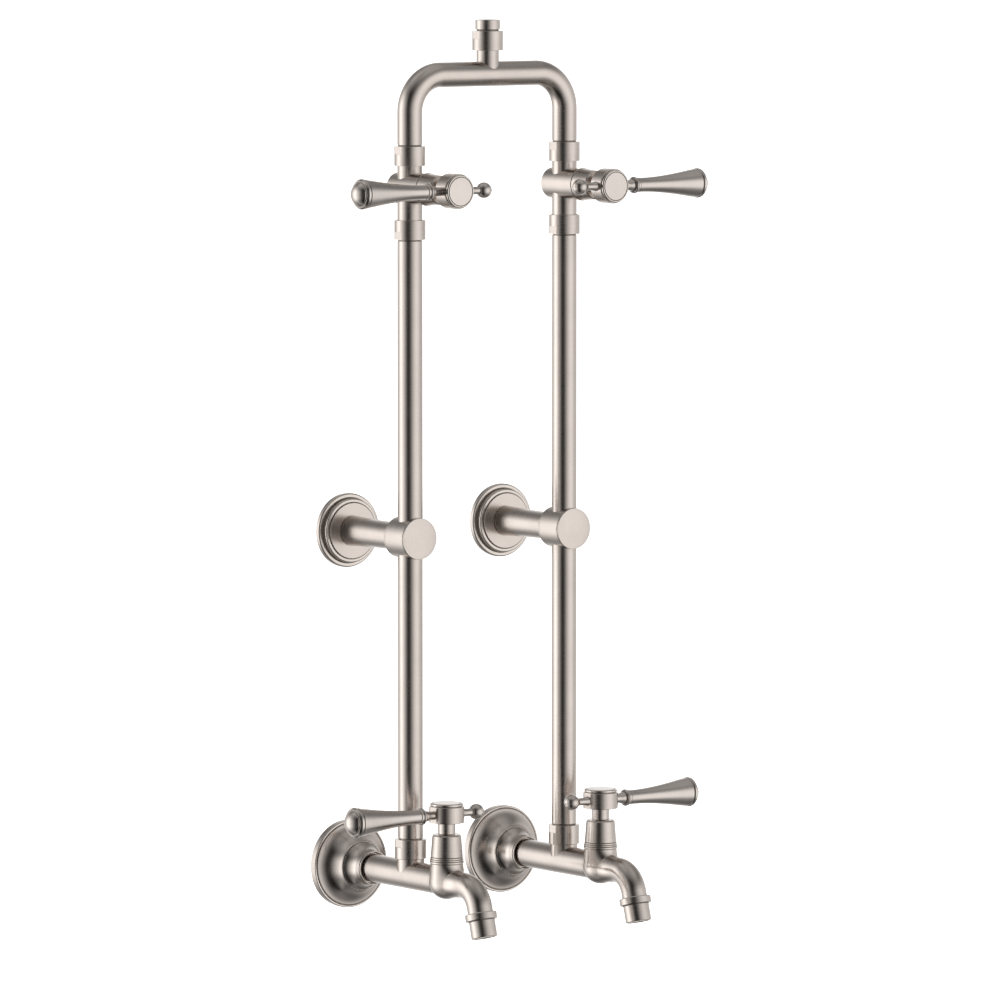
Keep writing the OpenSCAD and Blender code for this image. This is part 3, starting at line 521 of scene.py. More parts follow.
class Web:
    """A node tree with short ways to add and join nodes."""

    def __init__(self, tree: bpy.types.NodeTree) -> None:
        """Keeps the tree."""
        self.tree = tree

    def add(self, kind: str, **settings: object) -> bpy.types.Node:
        """A new node with its settings made; a key that starts with in_ sets that numbered input."""
        node = self.tree.nodes.new(kind)
        for key, value in settings.items():
            if key.startswith("in_"):
                node.inputs[int(key[3:])].default_value = value
            else:
                setattr(node, key, value)
        return node

    def join(self, source: bpy.types.NodeSocket, target: bpy.types.NodeSocket) -> None:
        """Links an output to an input."""
        self.tree.links.new(source, target)

    def math(self, operation: str, a: object, b: object = 0.0, clamp: bool = False) -> bpy.types.NodeSocket:
        """A Math node of two values or sockets."""
        node = self.add("ShaderNodeMath", operation=operation, use_clamp=clamp)
        self._feed(node.inputs[0], a)
        self._feed(node.inputs[1], b)
        return node.outputs[0]

    def vector(self, operation: str, a: object, b: object, out: int = 0) -> bpy.types.NodeSocket:
        """A Vector Math node of two vectors or sockets."""
        node = self.add("ShaderNodeVectorMath", operation=operation)
        self._feed(node.inputs[0], a)
        self._feed(node.inputs[1], b)
        return node.outputs[out]

    def spread(self, value: object, low: float, high: float, to_low: float = 0.0,
               to_high: float = 1.0) -> bpy.types.NodeSocket:
        """A clamped, smooth Map Range."""
        node = self.add("ShaderNodeMapRange", interpolation_type="SMOOTHSTEP")
        self._feed(node.inputs["Value"], value)
        for name, number in zip(("From Min", "From Max", "To Min", "To Max"), (low, high, to_low, to_high)):
            node.inputs[name].default_value = number
        return node.outputs[0]

    def noise(self, where: object, scale: float, detail: float = 3.0, rough: float = 0.5,
              out: str = "Fac") -> bpy.types.NodeSocket:
        """A Noise Texture's value at a place."""
        node = self.add("ShaderNodeTexNoise")
        self._feed(node.inputs["Vector"], where)
        node.inputs["Scale"].default_value = scale
        node.inputs["Detail"].default_value = detail
        node.inputs["Roughness"].default_value = rough
        return node.outputs[out]

    def blend(self, share: object, a: object, b: object, mode: str = "MIX") -> bpy.types.NodeSocket:
        """A colour mix."""
        node = self.add("ShaderNodeMix", data_type="RGBA", blend_type=mode)
        self._feed(node.inputs[0], share)
        self._feed(node.inputs[6], a)
        self._feed(node.inputs[7], b)
        return node.outputs[2]

    def _feed(self, socket: bpy.types.NodeSocket, value: object) -> None:
        """Joins a socket to an input, or sets a plain value on it."""
        if isinstance(value, bpy.types.NodeSocket):
            self.join(value, socket)
        else:
            socket.default_value = value


class Group:
    """A shader node group with named inputs and outputs, built once and placed in many materials."""

    def __init__(self, name: str, inputs: dict[str, tuple[str, object]], outputs: dict[str, str]) -> None:
        """Makes the empty group.

        Args:
            name: the group's name.
            inputs: each input's socket kind and starting value.
            outputs: each output's socket kind.
        """
        self.tree = bpy.data.node_groups.new(name, "ShaderNodeTree")
        for title, (kind, value) in inputs.items():
            socket = self.tree.interface.new_socket(name=title, in_out="INPUT", socket_type=kind)
            if value is not None:
                socket.default_value = value
        for title, kind in outputs.items():
            self.tree.interface.new_socket(name=title, in_out="OUTPUT", socket_type=kind)
        self.web = Web(self.tree)
        self.given = self.web.add("NodeGroupInput").outputs
        self.result = self.web.add("NodeGroupOutput").inputs

    def place(self, web: Web, **values: object) -> bpy.types.Node:
        """Puts the group into a tree with its own values; underscores in keys stand for spaces."""
        node = web.add("ShaderNodeGroup", node_tree=self.tree)
        for key, value in values.items():
            web._feed(node.inputs[key.replace("_", " ")], value)
        return node


def grain_group() -> Group:
    """Fine finishing lines along a surface's own run.

    The run's three parts, scaled by Stretch, index one fine noise and one coarser: long and thin where one
    part is scaled far more than the others. Lines gives the height, Sheen a slow change from patch to patch.
    """
    group = Group("finishing_lines", {"Run": ("NodeSocketVector", None), "Stretch": ("NodeSocketVector", None)},
                  {"Lines": "NodeSocketFloat", "Sheen": "NodeSocketFloat"})
    web, given = group.web, group.given
    where = web.vector("MULTIPLY", given["Run"], given["Stretch"])
    fine = web.noise(where, 1.0, 4.0, 0.6)
    coarse = web.noise(web.vector("MULTIPLY", where, (0.23, 0.6, 0.6)), 1.0, 2.0, 0.5)
    lines = web.math("ADD", web.math("MULTIPLY", fine, 0.65), web.math("MULTIPLY", coarse, 0.35))
    web.join(lines, group.result["Lines"])
    web.join(web.spread(coarse, 0.3, 0.7), group.result["Sheen"])
    return group


def handling_group() -> Group:
    """Marks of hands and dried water: Smudge is broad and soft, Spots are small rings of dried drops."""
    group = Group("handling_marks", {"Where": ("NodeSocketVector", None), "Size": ("NodeSocketFloat", 1.0)},
                  {"Smudge": "NodeSocketFloat", "Spots": "NodeSocketFloat"})
    web, given = group.web, group.given
    spot = web.vector("SCALE", given["Where"], (0, 0, 0))
    web.join(given["Size"], spot.node.inputs["Scale"])
    warped = web.vector("ADD", spot, web.vector("MULTIPLY", web.noise(spot, 30.0, 2.0, 0.5, "Color"),
                                                 (0.02, 0.02, 0.02)))
    smudge = web.spread(web.noise(warped, 38.0, 4.0, 0.62), 0.42, 0.7)
    cell = web.add("ShaderNodeTexVoronoi", feature="F1")
    web.join(spot, cell.inputs["Vector"])
    cell.inputs["Scale"].default_value = 210.0
    rim = web.math("SUBTRACT", web.spread(cell.outputs["Distance"], 0.10, 0.17),
                   web.spread(cell.outputs["Distance"], 0.17, 0.24), clamp=True)
    seldom = web.spread(web.noise(spot, 60.0, 1.0, 0.5), 0.56, 0.68)
    web.join(smudge, group.result["Smudge"])
    web.join(web.math("MULTIPLY", rim, seldom), group.result["Spots"])
    return group


def wear_group() -> Group:
    """Edge polish and painted shade in concave corners: each mask is the mesh's own corner mask, broken up by
    noise.
    """
    group = Group("edge_wear", {"Where": ("NodeSocketVector", None)},
                  {"Polish": "NodeSocketFloat", "Grime": "NodeSocketFloat"})
    web, given = group.web, group.given
    broken = web.noise(given["Where"], 900.0, 3.0, 0.6)
    rub = web.add("ShaderNodeAttribute", attribute_name="rub").outputs["Fac"]
    nook = web.add("ShaderNodeAttribute", attribute_name="nook").outputs["Fac"]
    web.join(web.math("MULTIPLY", rub, web.spread(broken, 0.35, 0.6), clamp=True), group.result["Polish"])
    # Concave-corner mask, used as painted shade that darkens the colour in corners.
    web.join(web.math("MULTIPLY", nook, web.spread(broken, 0.3, 0.62, 0.45, 1.0), clamp=True),
             group.result["Grime"])
    return group


def mottle_group() -> Group:
    """Slow and fine unevenness of a solid colour: Slow is cloudy, Fine is a speckle."""
    group = Group("mottle", {"Where": ("NodeSocketVector", None), "Size": ("NodeSocketFloat", 1.0)},
                  {"Slow": "NodeSocketFloat", "Fine": "NodeSocketFloat"})
    web, given = group.web, group.given
    spot = web.vector("SCALE", given["Where"], (0, 0, 0))
    web.join(given["Size"], spot.node.inputs["Scale"])
    web.join(web.noise(spot, 45.0, 3.0, 0.55), group.result["Slow"])
    web.join(web.noise(spot, 1400.0, 2.0, 0.6), group.result["Fine"])
    return group


@dataclass
class Effects:
    """The shader groups that the finishes share."""

    grain: Group = field(default_factory=grain_group)
    handling: Group = field(default_factory=handling_group)
    wear: Group = field(default_factory=wear_group)
    mottle: Group = field(default_factory=mottle_group)


# --- Finishes ------------------------------------------------------------------


def start_material(name: str) -> tuple[bpy.types.Material, Web, bpy.types.Node]:
    """A new material, its web and its Principled shader."""
    material = bpy.data.materials.new(name)
    material.use_nodes = True
    web = Web(material.node_tree)
    shader = next(n for n in material.node_tree.nodes if n.type == "BSDF_PRINCIPLED")
    return material, web, shader


@dataclass(frozen=True)
class SatinNickel:
    """Warm satin nickel plating with fine finishing lines, soft smudges, polished edges and painted shade in its
    concave corners.

    Attributes:
        colour: the plating's colour.
        bright: the colour of rubbed edges.
        grime: the near-black colour painted into concave corners as shade.
        roughness: how dull the plating is before marks.
        depth: how deep the finishing lines stand, in metres.
        title: what the material's name starts with.
    """

    colour: Triple = (0.672, 0.604, 0.560)
    bright: Triple = (0.79, 0.735, 0.68)
    grime: Triple = (0.13, 0.11, 0.098)
    roughness: float = 0.185
    depth: float = 0.00004
    title: str = "satin_nickel"

    def make(self, effects: Effects, lay: Lay) -> bpy.types.Material:
        """Builds the material.

        Args:
            effects: the shared shader groups.
            lay: which way the finishing lines run.

        Returns:
            The material.
        """
        material, web, shader = start_material(f"{self.title}_{lay.value}")
        run = web.add("ShaderNodeAttribute", attribute_name="run").outputs["Vector"]
        where = web.add("ShaderNodeTexCoord").outputs["Object"]
        stretch = (3200.0, 1.1, 1.1) if lay is Lay.ROUND else (14.0, 46.0, 46.0)
        grain = effects.grain.place(web, Run=run, Stretch=stretch)
        marks = effects.handling.place(web, Where=where, Size=1.0)
        wear = effects.wear.place(web, Where=where)
        cloud = effects.mottle.place(web, Where=where, Size=0.6)
        tint = web.blend(web.spread(cloud.outputs["Slow"], 0.3, 0.7), (*(c * 0.965 for c in self.colour), 1),
                         (*(min(1, c * 1.03) for c in self.colour), 1))
        lined = web.blend(web.math("MULTIPLY", grain.outputs["Sheen"], 0.07), tint, (1, 0.97, 0.94, 1))
        rubbed = web.blend(web.math("MULTIPLY", wear.outputs["Polish"], 0.55), lined, (*self.bright, 1))
        # Painted shade: concave corners are darkened towards a near-black colour.
        corner_shaded = web.blend(web.math("MULTIPLY", wear.outputs["Grime"], 0.85), rubbed, (*self.grime, 1))
        spotted = web.blend(web.math("MULTIPLY", marks.outputs["Spots"], 0.10), corner_shaded, (0.9, 0.9, 0.88, 1))
        speck = web.math("MULTIPLY", web.spread(cloud.outputs["Fine"], 0.52, 0.74), 0.16)
        web.join(web.blend(speck, spotted, (0.86, 0.82, 0.78, 1)), shader.inputs["Base Color"])
        dull = web.math("ADD", self.roughness, web.math("MULTIPLY", marks.outputs["Smudge"], 0.035))
        dull = web.math("ADD", dull, web.math("MULTIPLY", grain.outputs["Sheen"], 0.03))
        dull = web.math("ADD", dull, web.math("MULTIPLY", cloud.outputs["Fine"], 0.06))
        dull = web.math("ADD", dull, web.math("MULTIPLY", marks.outputs["Spots"], 0.12))
        dull = web.math("SUBTRACT", dull, web.math("MULTIPLY", wear.outputs["Polish"], 0.05))
        dull = web.math("ADD", dull, web.math("MULTIPLY", wear.outputs["Grime"], 0.2), clamp=True)
        web.join(dull, shader.inputs["Roughness"])
        shader.inputs["Metallic"].default_value = 1.0
        bump = web.add("ShaderNodeBump")
        bump.inputs["Strength"].default_value = 0.18
        bump.inputs["Distance"].default_value = self.depth
        web.join(grain.outputs["Lines"], bump.inputs["Height"])
        web.join(bump.outputs["Normal"], shader.inputs["Normal"])
        return material


@dataclass(frozen=True)
class BareMetal:
    """Machined metal that nobody sees in use: brass nipples, spindles, screws and cartridges.

    Attributes:
        name: the finish's name.
        colour: the fresh metal.
        tarnish: the colour it goes to in patches.
        roughness: how dull it is.
        pitch: tool marks to the metre, along the piece.
    """

    name: str
    colour: Triple
    tarnish: Triple
    roughness: float = 0.28
    pitch: float = 2400.0

    def make(self, effects: Effects) -> bpy.types.Material:
        """Builds the material, with tool marks across the wall's depth and height."""
        material, web, shader = start_material(self.name)
        where = web.add("ShaderNodeTexCoord").outputs["Object"]
        grain = effects.grain.place(web, Run=where, Stretch=(self.pitch * 0.2, self.pitch, self.pitch))
        marks = effects.handling.place(web, Where=where, Size=2.0)
        cloud = effects.mottle.place(web, Where=where, Size=2.0)
        stain = web.spread(cloud.outputs["Slow"], 0.42, 0.68)
        tint = web.blend(web.math("MULTIPLY", stain, 0.7), (*self.colour, 1), (*self.tarnish, 1))
        web.join(web.blend(web.math("MULTIPLY", grain.outputs["Sheen"], 0.1), tint, (1, 0.93, 0.75, 1)),
                 shader.inputs["Base Color"])
        dull = web.math("ADD", self.roughness, web.math("MULTIPLY", stain, 0.14))
        web.join(web.math("ADD", dull, web.math("MULTIPLY", marks.outputs["Smudge"], 0.08), clamp=True),
                 shader.inputs["Roughness"])
        shader.inputs["Metallic"].default_value = 1.0
        bump = web.add("ShaderNodeBump")
        bump.inputs["Strength"].default_value = 0.3
        bump.inputs["Distance"].default_value = 0.00005
        web.join(grain.outputs["Lines"], bump.inputs["Height"])
        web.join(bump.outputs["Normal"], shader.inputs["Normal"])
        return material


@dataclass(frozen=True)
class SolidStuff:
    """A coloured solid that isn't metal: ceramic, rubber, fibre or moulded plastic.

    Attributes:
        name: the finish's name.
        colour: its main colour.
        other: the colour it drifts to.
        roughness: how dull it is.
        coarse: size of its speckle, larger being finer.
        depth: height of its texture, in metres.
        coat: strength of a glaze over it.
    """

    name: str
    colour: Triple
    other: Triple
    roughness: float
    coarse: float = 1.0
    depth: float = 0.00005
    coat: float = 0.0

    def make(self, effects: Effects) -> bpy.types.Material:
        """Builds the material."""
        material, web, shader = start_material(self.name)
        where = web.add("ShaderNodeTexCoord").outputs["Object"]
        cloud = effects.mottle.place(web, Where=where, Size=self.coarse)
        marks = effects.handling.place(web, Where=where, Size=2.0)
        tint = web.blend(web.spread(cloud.outputs["Slow"], 0.32, 0.68), (*self.colour, 1), (*self.other, 1))
        speck = web.math("MULTIPLY", web.spread(cloud.outputs["Fine"], 0.5, 0.7), 0.35)
        web.join(web.blend(speck, tint, (*(c * 0.7 for c in self.other), 1)), shader.inputs["Base Color"])
        dull = web.math("ADD", self.roughness, web.math("MULTIPLY", marks.outputs["Smudge"], 0.07), clamp=True)
        web.join(dull, shader.inputs["Roughness"])
        shader.inputs["Coat Weight"].default_value = self.coat
        bump = web.add("ShaderNodeBump")
        bump.inputs["Strength"].default_value = 0.35
        bump.inputs["Distance"].default_value = self.depth
        web.join(cloud.outputs["Fine"], bump.inputs["Height"])
        web.join(bump.outputs["Normal"], shader.inputs["Normal"])
        return material


@dataclass
class Palette:
    """Every finish of the column, built once."""

    effects: Effects = field(default_factory=Effects)

    def __post_init__(self) -> None:
        """Builds the materials."""
        nickel = SatinNickel()
        self.turned = nickel.make(self.effects, Lay.ROUND)
        self.drawn = nickel.make(self.effects, Lay.LENGTHWISE)
        self.smooth = SatinNickel(colour=(0.705, 0.642, 0.6), depth=0.000015, title="polished_nickel").make(
            self.effects, Lay.ROUND)
        self.brass = BareMetal("bare_brass", (0.72, 0.53, 0.25), (0.42, 0.27, 0.12)).make(self.effects)
        self.steel = BareMetal("grub_steel", (0.5, 0.5, 0.5), (0.3, 0.29, 0.28), 0.32).make(self.effects)
        self.ceramic = SolidStuff("lapped_ceramic", (0.86, 0.84, 0.78), (0.8, 0.78, 0.72), 0.16, 1.0,
                                  0.00001, 0.3).make(self.effects)
        self.rubber = SolidStuff("moulded_rubber", (0.025, 0.025, 0.028), (0.045, 0.044, 0.043), 0.55, 1.0,
                                 0.00008).make(self.effects)
        self.fibre = SolidStuff("pressed_fibre", (0.36, 0.15, 0.08), (0.27, 0.11, 0.06), 0.7, 0.6,
                                0.0001).make(self.effects)
        self.plastic = SolidStuff("aerator_plastic", (0.72, 0.72, 0.7), (0.64, 0.64, 0.62), 0.4, 1.5,
                                  0.00002).make(self.effects)


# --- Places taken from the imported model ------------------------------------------


@dataclass(frozen=True)
class Places:
    """Where the column's axes lie, in metres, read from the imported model."""

    half_spacing: float
    riser_y: float
    tap_y: float
    bracket_z: float
    valve_z: float

    @staticmethod
    def read() -> "Places":
        """Reads the joints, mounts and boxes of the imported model."""
        mounts = {m["name"]: m for m in frame["record"]["mounts"]}
        joints = {j["name"]: j for j in frame["joints"]}
        low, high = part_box("hot_riser")
        return Places(mounts["wall_inlets"]["dims"]["spacing_x_mm"] * MM / 2, (low.y + high.y) / 2,
                      joints["hot_tap_turn"]["pos_m"][1], mounts["bracket_bolts"]["pos_m"][2],
                      joints["hot_valve_turn"]["pos_m"][2])

    def x(self, side: Side) -> float:
        """A side's place along the wall."""
        return side.value * self.half_spacing

    def wall(self, side: Side, z: float = 0.0) -> Stance:
        """On the wall, looking out of it."""
        return Stance((self.x(side), 0.0, z), (0, -1, 0), (0, 0, 1))

    def riser(self, side: Side) -> Stance:
        """On a riser's axis at the inlets' height, looking up."""
        return Stance((self.x(side), self.riser_y, 0.0), (0, 0, 1), (-1, 0, 0))


# --- Sub-assemblies --------------------------------------------------------------


@dataclass
class Union:
    """Union nut and the thread and collar inside it, measured from its threaded end."""

    nut_r: float = 16.2
    nut_h: float = 20.1
    bore_r: float = 13.05
    thread_r: float = 14.2
    flat_depth: float = 1.0
    collar_at: float = 12.5
    collar_h: float = 2.0
    threaded: tuple[float, float] = (1.0, 11.0)

    def nut(self, stance: Stance) -> Skin:
        """The nut: a ring outline with a relieved mouth, cut by two spanner flats at its tube end."""
        step = self.nut_h * 0.6
        shoulder = self.collar_at + self.collar_h + 0.05
        inner = self.thread_r + 0.05
        flats = Flats(self.nut_r - self.flat_depth, step)
        rows = [[self.nut_r, step + d, 0] for d in (-0.7, -0.06, -0.03, 0.02, 0.06, 0.7)]
        outline = rounded([[inner, 0, 0.25], [self.nut_r, 0, 0.35], *rows, [self.nut_r, self.nut_h, 0.35],
                           [self.bore_r, self.nut_h, 0.6], [self.bore_r, shoulder, 0.1],
                           [inner, shoulder, 0.1]])
        return carried(outline, Route(stance), shaper=flats, angles=flats.angles(self.nut_r))

    def thread(self, stance: Stance) -> Skin:
        """A stub's thread: rings of ridges 0.35 deep, one to every 1.4 of height."""
        low, high = self.threaded
        h = np.linspace(low, high, 57)
        r = self.thread_r - 0.35 * (0.5 - 0.5 * np.cos(2 * np.pi * (h - low) / 1.4))
        crest = np.stack([r, h, 0 * h], 1).tolist()
        outline = rounded([[0, low, 0], [self.thread_r - 0.6, low, 0.2], *crest[1:-1],
                           [self.thread_r - 0.6, high, 0.2], [0, high, 0]], closed=False)
        return carried(outline, Route(stance), 64)


@dataclass
class Inlet:
    """Wall flange and inlet tube of one side."""

    side: Side
    places: Places
    flange_r: float = 46.5
    boss_r: float = 25.3
    boss_reach: float = 28.5
    lip_r: float = 18.0
    lip_reach: float = 50.0
    tube_r: float = 14.8
    tube_start: float = 1.5
    tube_end: float = 166.0
    bore_r: float = 11.55
    branch_r: float = 14.4
    stub_r: float = 13.0
    nut_z: float = 17.6

    def flange(self) -> Skin:
        """The flange's outline: rim, groove, trumpet flare, boss edge, sleeve flare and lip."""
        rim = self.flange_r
        hole = self.tube_r + 0.05
        outline = rounded([
            [rim - 2, 0, 0.3], [rim, 0, 0.4], [rim, 7.9, 1.5], [rim - 2.0, 8.1, 0.35],
            [rim - 2.25, 7.2, 0.15], [rim - 2.75, 7.2, 0.15], [rim - 3.0, 8.1, 0.3],
            *curve((rim - 3.5, 8.45), (self.boss_r + 0.9, self.boss_reach - 1.6), (12, 74), 34),
            [self.boss_r + 0.4, self.boss_reach - 0.45, 0.3], [self.boss_r, self.boss_reach + 0.05, 0.15],
            [self.boss_r - 0.15, self.boss_reach - 1.0, 0.1], [self.boss_r - 0.5, self.boss_reach - 1.0, 0.1],
            [self.boss_r - 0.65, self.boss_reach + 0.2, 0.12],
            *curve((self.boss_r - 0.9, self.boss_reach + 0.35), (self.lip_r + 0.12, self.boss_reach + 14),
                   (30, 87), 24)[1:],
            [self.lip_r - 0.05, self.lip_reach - 3.2, 0.3], [self.lip_r - 0.65, self.lip_reach - 2.5, 0.2],
            [self.lip_r, self.lip_reach - 1.7, 0.35], [self.lip_r, self.lip_reach, 0.7],
            [self.lip_r - 1.3, self.lip_reach, 0.5], [self.lip_r - 1.6, self.lip_reach - 6, 0.3],
            [hole, self.lip_reach - 6, 0.2], [hole, self.boss_reach - 6, 0.3],
            [self.boss_r - 5, self.boss_reach - 6, 1.5], [rim - 12, 5, 2.0], [rim - 2, 3.5, 1.0],
        ])
        return carried(outline, Route(self.places.wall(self.side)), 144)

    def tube(self) -> Skin:
        """Inlet tube along the wall's normal."""
        outline = rounded([[self.bore_r, self.tube_start, 0.2], [self.tube_r, self.tube_start, 0.4],
                           [self.tube_r, self.tube_end, 0.3], [self.bore_r, self.tube_end, 0.2]])
        return carried(outline, Route(self.places.wall(self.side)), 112)

    def branch(self) -> Skin:
        """Branch that rises to the riser's union."""
        top = self.nut_z - 0.3
        outline = rounded([[0, 2, 0], [self.branch_r, 2, 0.3], [self.branch_r, top, 0.4],
                           [self.stub_r, top, 0.15], [self.stub_r, self.nut_z + 1.2, 0.2],
                           [0, self.nut_z + 1.2, 0]], closed=False)
        return carried(outline, Route(self.places.riser(self.side)), 96)

    def build(self, palette: Palette) -> None:
        """Makes and dresses the flange and the inlet tee."""
        word, body = self.side.word, Body.COLUMN.value
        piece(f"{word}_flange_skin", self.flange(), palette.turned, body, [f"{word}_wall_flange"])
        thread = Union().thread(self.places.riser(self.side).shifted(self.nut_z))
        tee = Skin.joined([self.tube(), self.branch(), thread])
        piece(f"{word}_tee_skin", tee, palette.turned, body, [f"{word}_inlet_tee"])


@dataclass
class TapBody:
    """Ball, seat column, rear butt and spout of one tap, and its outlet."""

    side: Side
    places: Places
    ball_r: float = 18.4
    ball_drop: float = 0.0
    seat: float = 23.6
    column_r: float = 17.0
    ring_r: float = 17.75
    thread_room_r: float = 11.85
    cage_room_r: float = 11.0
    cage_floor: float = 5.1
    thread_floor: float = 13.1
    butt_r: float = 14.8
    butt_reach: float = 13.0
    spout_r: float = 13.2
    spout_z: float = -0.8
    spout_run: float = 31.0
    bend_r: float = 27.5
    tilt: float = 15.7
    lead: float = 5.8
    collar_r: float = 16.65
    collar_h: float = 7.6
    nose_r: float = 13.6
    outlet_l: float = 25.9
    mouth_r: float = 11.25
    melt: float = 6.0

    @property
    def upright(self) -> Stance:
        """On the tap's axis at the inlet's height, looking up."""
        return Stance((self.places.x(self.side), self.places.tap_y, 0.0), (0, 0, 1), (-1, 0, 0))

    def ball(self) -> Skin:
        """Ball and column with the room for the cartridge."""
        join = arc((0, -self.ball_drop), self.ball_r, (-90, 13), 40)
        ring = self.seat - 4.8
        outline = rounded([
            *join, [self.column_r, ring, 0.3], [self.ring_r - 0.9, ring + 0.35, 0.25],
            [self.ring_r, ring + 0.9, 0.5], [self.ring_r, ring + 2.5, 0.6],
            [self.ring_r - 0.75, ring + 2.95, 0.2], [self.ring_r - 0.1, ring + 3.4, 0.4],
            [self.ring_r - 0.1, self.seat - 0.35, 0.4], [self.ring_r - 0.7, self.seat, 0.3],
            [self.thread_room_r, self.seat, 0.3], [self.thread_room_r, self.thread_floor, 0.2],
            [self.cage_room_r, self.thread_floor, 0.2], [self.cage_room_r, self.cage_floor, 0.3],
            [0, self.cage_floor, 0],
        ], closed=False)
        return carried(outline, Route(self.upright), 112)

    def butt(self) -> Skin:
        """Round butt that meets the inlet tube behind the ball."""
        stance = Stance(self.upright.origin, (0, 1, 0), (0, 0, 1))
        outline = rounded([[0, 2, 0], [self.butt_r, 2, 0.3], [self.butt_r, self.butt_reach, 0.3],
                           [0, self.butt_reach, 0]], closed=False)
        return carried(outline, Route(stance), 112)

    def spout_route(self) -> Route:
        """Straight out of the ball, then down through the bend."""
        start = Stance((self.places.x(self.side), self.places.tap_y, self.spout_z * MM), (0, -1, 0), (0, 0, -1))
        turn = math.radians(90 - self.tilt)
        return Route(start, (Leg(self.spout_run), Leg(self.bend_r * turn, self.bend_r), Leg(100.0)))

    def spout(self) -> Skin:
        """The spout's tube, closed at both ends, carried along its route."""
        end = self.spout_run + self.bend_r * math.radians(90 - self.tilt) + self.lead + 4
        outline = rounded([[0, 10, 0], [self.spout_r, 10, 0.3], [self.spout_r, end, 0.3], [0, end, 0]],
                          closed=False)
        return carried(outline, self.spout_route(), 112)

    def mouth(self) -> Stance:
        """At the end of the spout's lead, looking along the flow."""
        route = self.spout_route()
        at = np.array([self.spout_run + self.bend_r * math.radians(90 - self.tilt) + self.lead])
        centre, heading, inward = route.follow(at)
        axes = route.stance.axes
        place = centre[0] @ axes * MM + np.asarray(route.stance.origin)
        return Stance(tuple(place), tuple(heading[0] @ axes), tuple(inward[0] @ axes))

    def outlet(self) -> Skin:
        """Collar and nose round the aerator."""
        spigot = self.spout_r - 0.85
        aerator = self.outlet_l - 9.6
        outline = rounded([
            [spigot, 0, 0.2], [self.collar_r - 0.5, 0.15, 0.4], [self.collar_r, 0.9, 0.5],
            [self.collar_r, self.collar_h - 0.8, 0.5], [self.collar_r - 0.5, self.collar_h - 0.1, 0.4],
            [self.nose_r + 0.4, self.collar_h, 0.4], [self.nose_r, self.collar_h + 0.5, 0.4],
            [self.nose_r, self.outlet_l - 0.7, 0.5], [self.nose_r - 0.6, self.outlet_l, 0.4],
            [self.mouth_r + 0.8, self.outlet_l, 0.3], [self.mouth_r, self.outlet_l - 0.8, 0.3],
            [self.mouth_r, aerator, 0.2], [self.mouth_r - 1.5, aerator, 0.2],
            [self.mouth_r - 1.5, aerator - 1, 0.2], [spigot, aerator - 1, 0.2],
        ])
        return carried(outline, Route(self.mouth()), 112)

    def from_ball(self, points: Array) -> tuple[Array, Array]:
        """Distance of each point outside the ball, and the ball's outward direction there."""
        away = (points - np.asarray(self.upright.origin)) / MM
        size = np.maximum(np.linalg.norm(away, axis=1), 1e-6)
        return size - self.ball_r, away / size[:, None]

    def from_spout(self, points: Array) -> tuple[Array, Array]:
        """Distance of each point outside the spout's straight start, and that tube's outward direction."""
        away = (points - np.asarray(self.spout_route().stance.origin)) / MM
        behind = away[:, 1].copy()
        away[:, 1] = 0
        size = np.maximum(np.linalg.norm(away, axis=1), 1e-6)
        return np.maximum(size - self.spout_r, behind), away / size[:, None]

    def melted(self, skin: Skin, other: Callable[[Array], tuple[Array, Array]]) -> Skin:
        """Swells a surface where it nears another, so the two run together in a fillet.

        At a distance d from the other surface, a point moves out by k / 4 * (1 - d / k) ** 2, where k is
        the fillet's reach, and its direction leans by up to a half towards the other's.

        Args:
            skin: the surface to swell.
            other: distance to the other surface and its outward direction.

        Returns:
            The same skin, changed in place.
        """
        distance, lean = other(skin.points)
        near = 1 - np.clip(distance / self.melt, 0, 1)
        skin.points = skin.points + skin.ways * (self.melt / 4 * near**2 * MM)[:, None]
        ways = skin.ways * (1 - near / 2)[:, None] + lean * (near / 2)[:, None]
        skin.ways = ways / np.linalg.norm(ways, axis=1)[:, None]
        return skin

    def build(self, palette: Palette) -> None:
        """Makes and dresses the body and the outlet."""
        word, body = self.side.word, Body.COLUMN.value
        ball, spout = self.melted(self.ball(), self.from_spout), self.melted(self.spout(), self.from_ball)
        skin = Skin.joined([ball, self.butt(), spout])
        piece(f"{word}_tap_skin", skin, palette.turned, body, [f"{word}_tap_body"])
        piece(f"{word}_outlet_skin", self.outlet(), palette.turned, body, [f"{word}_outlet"])


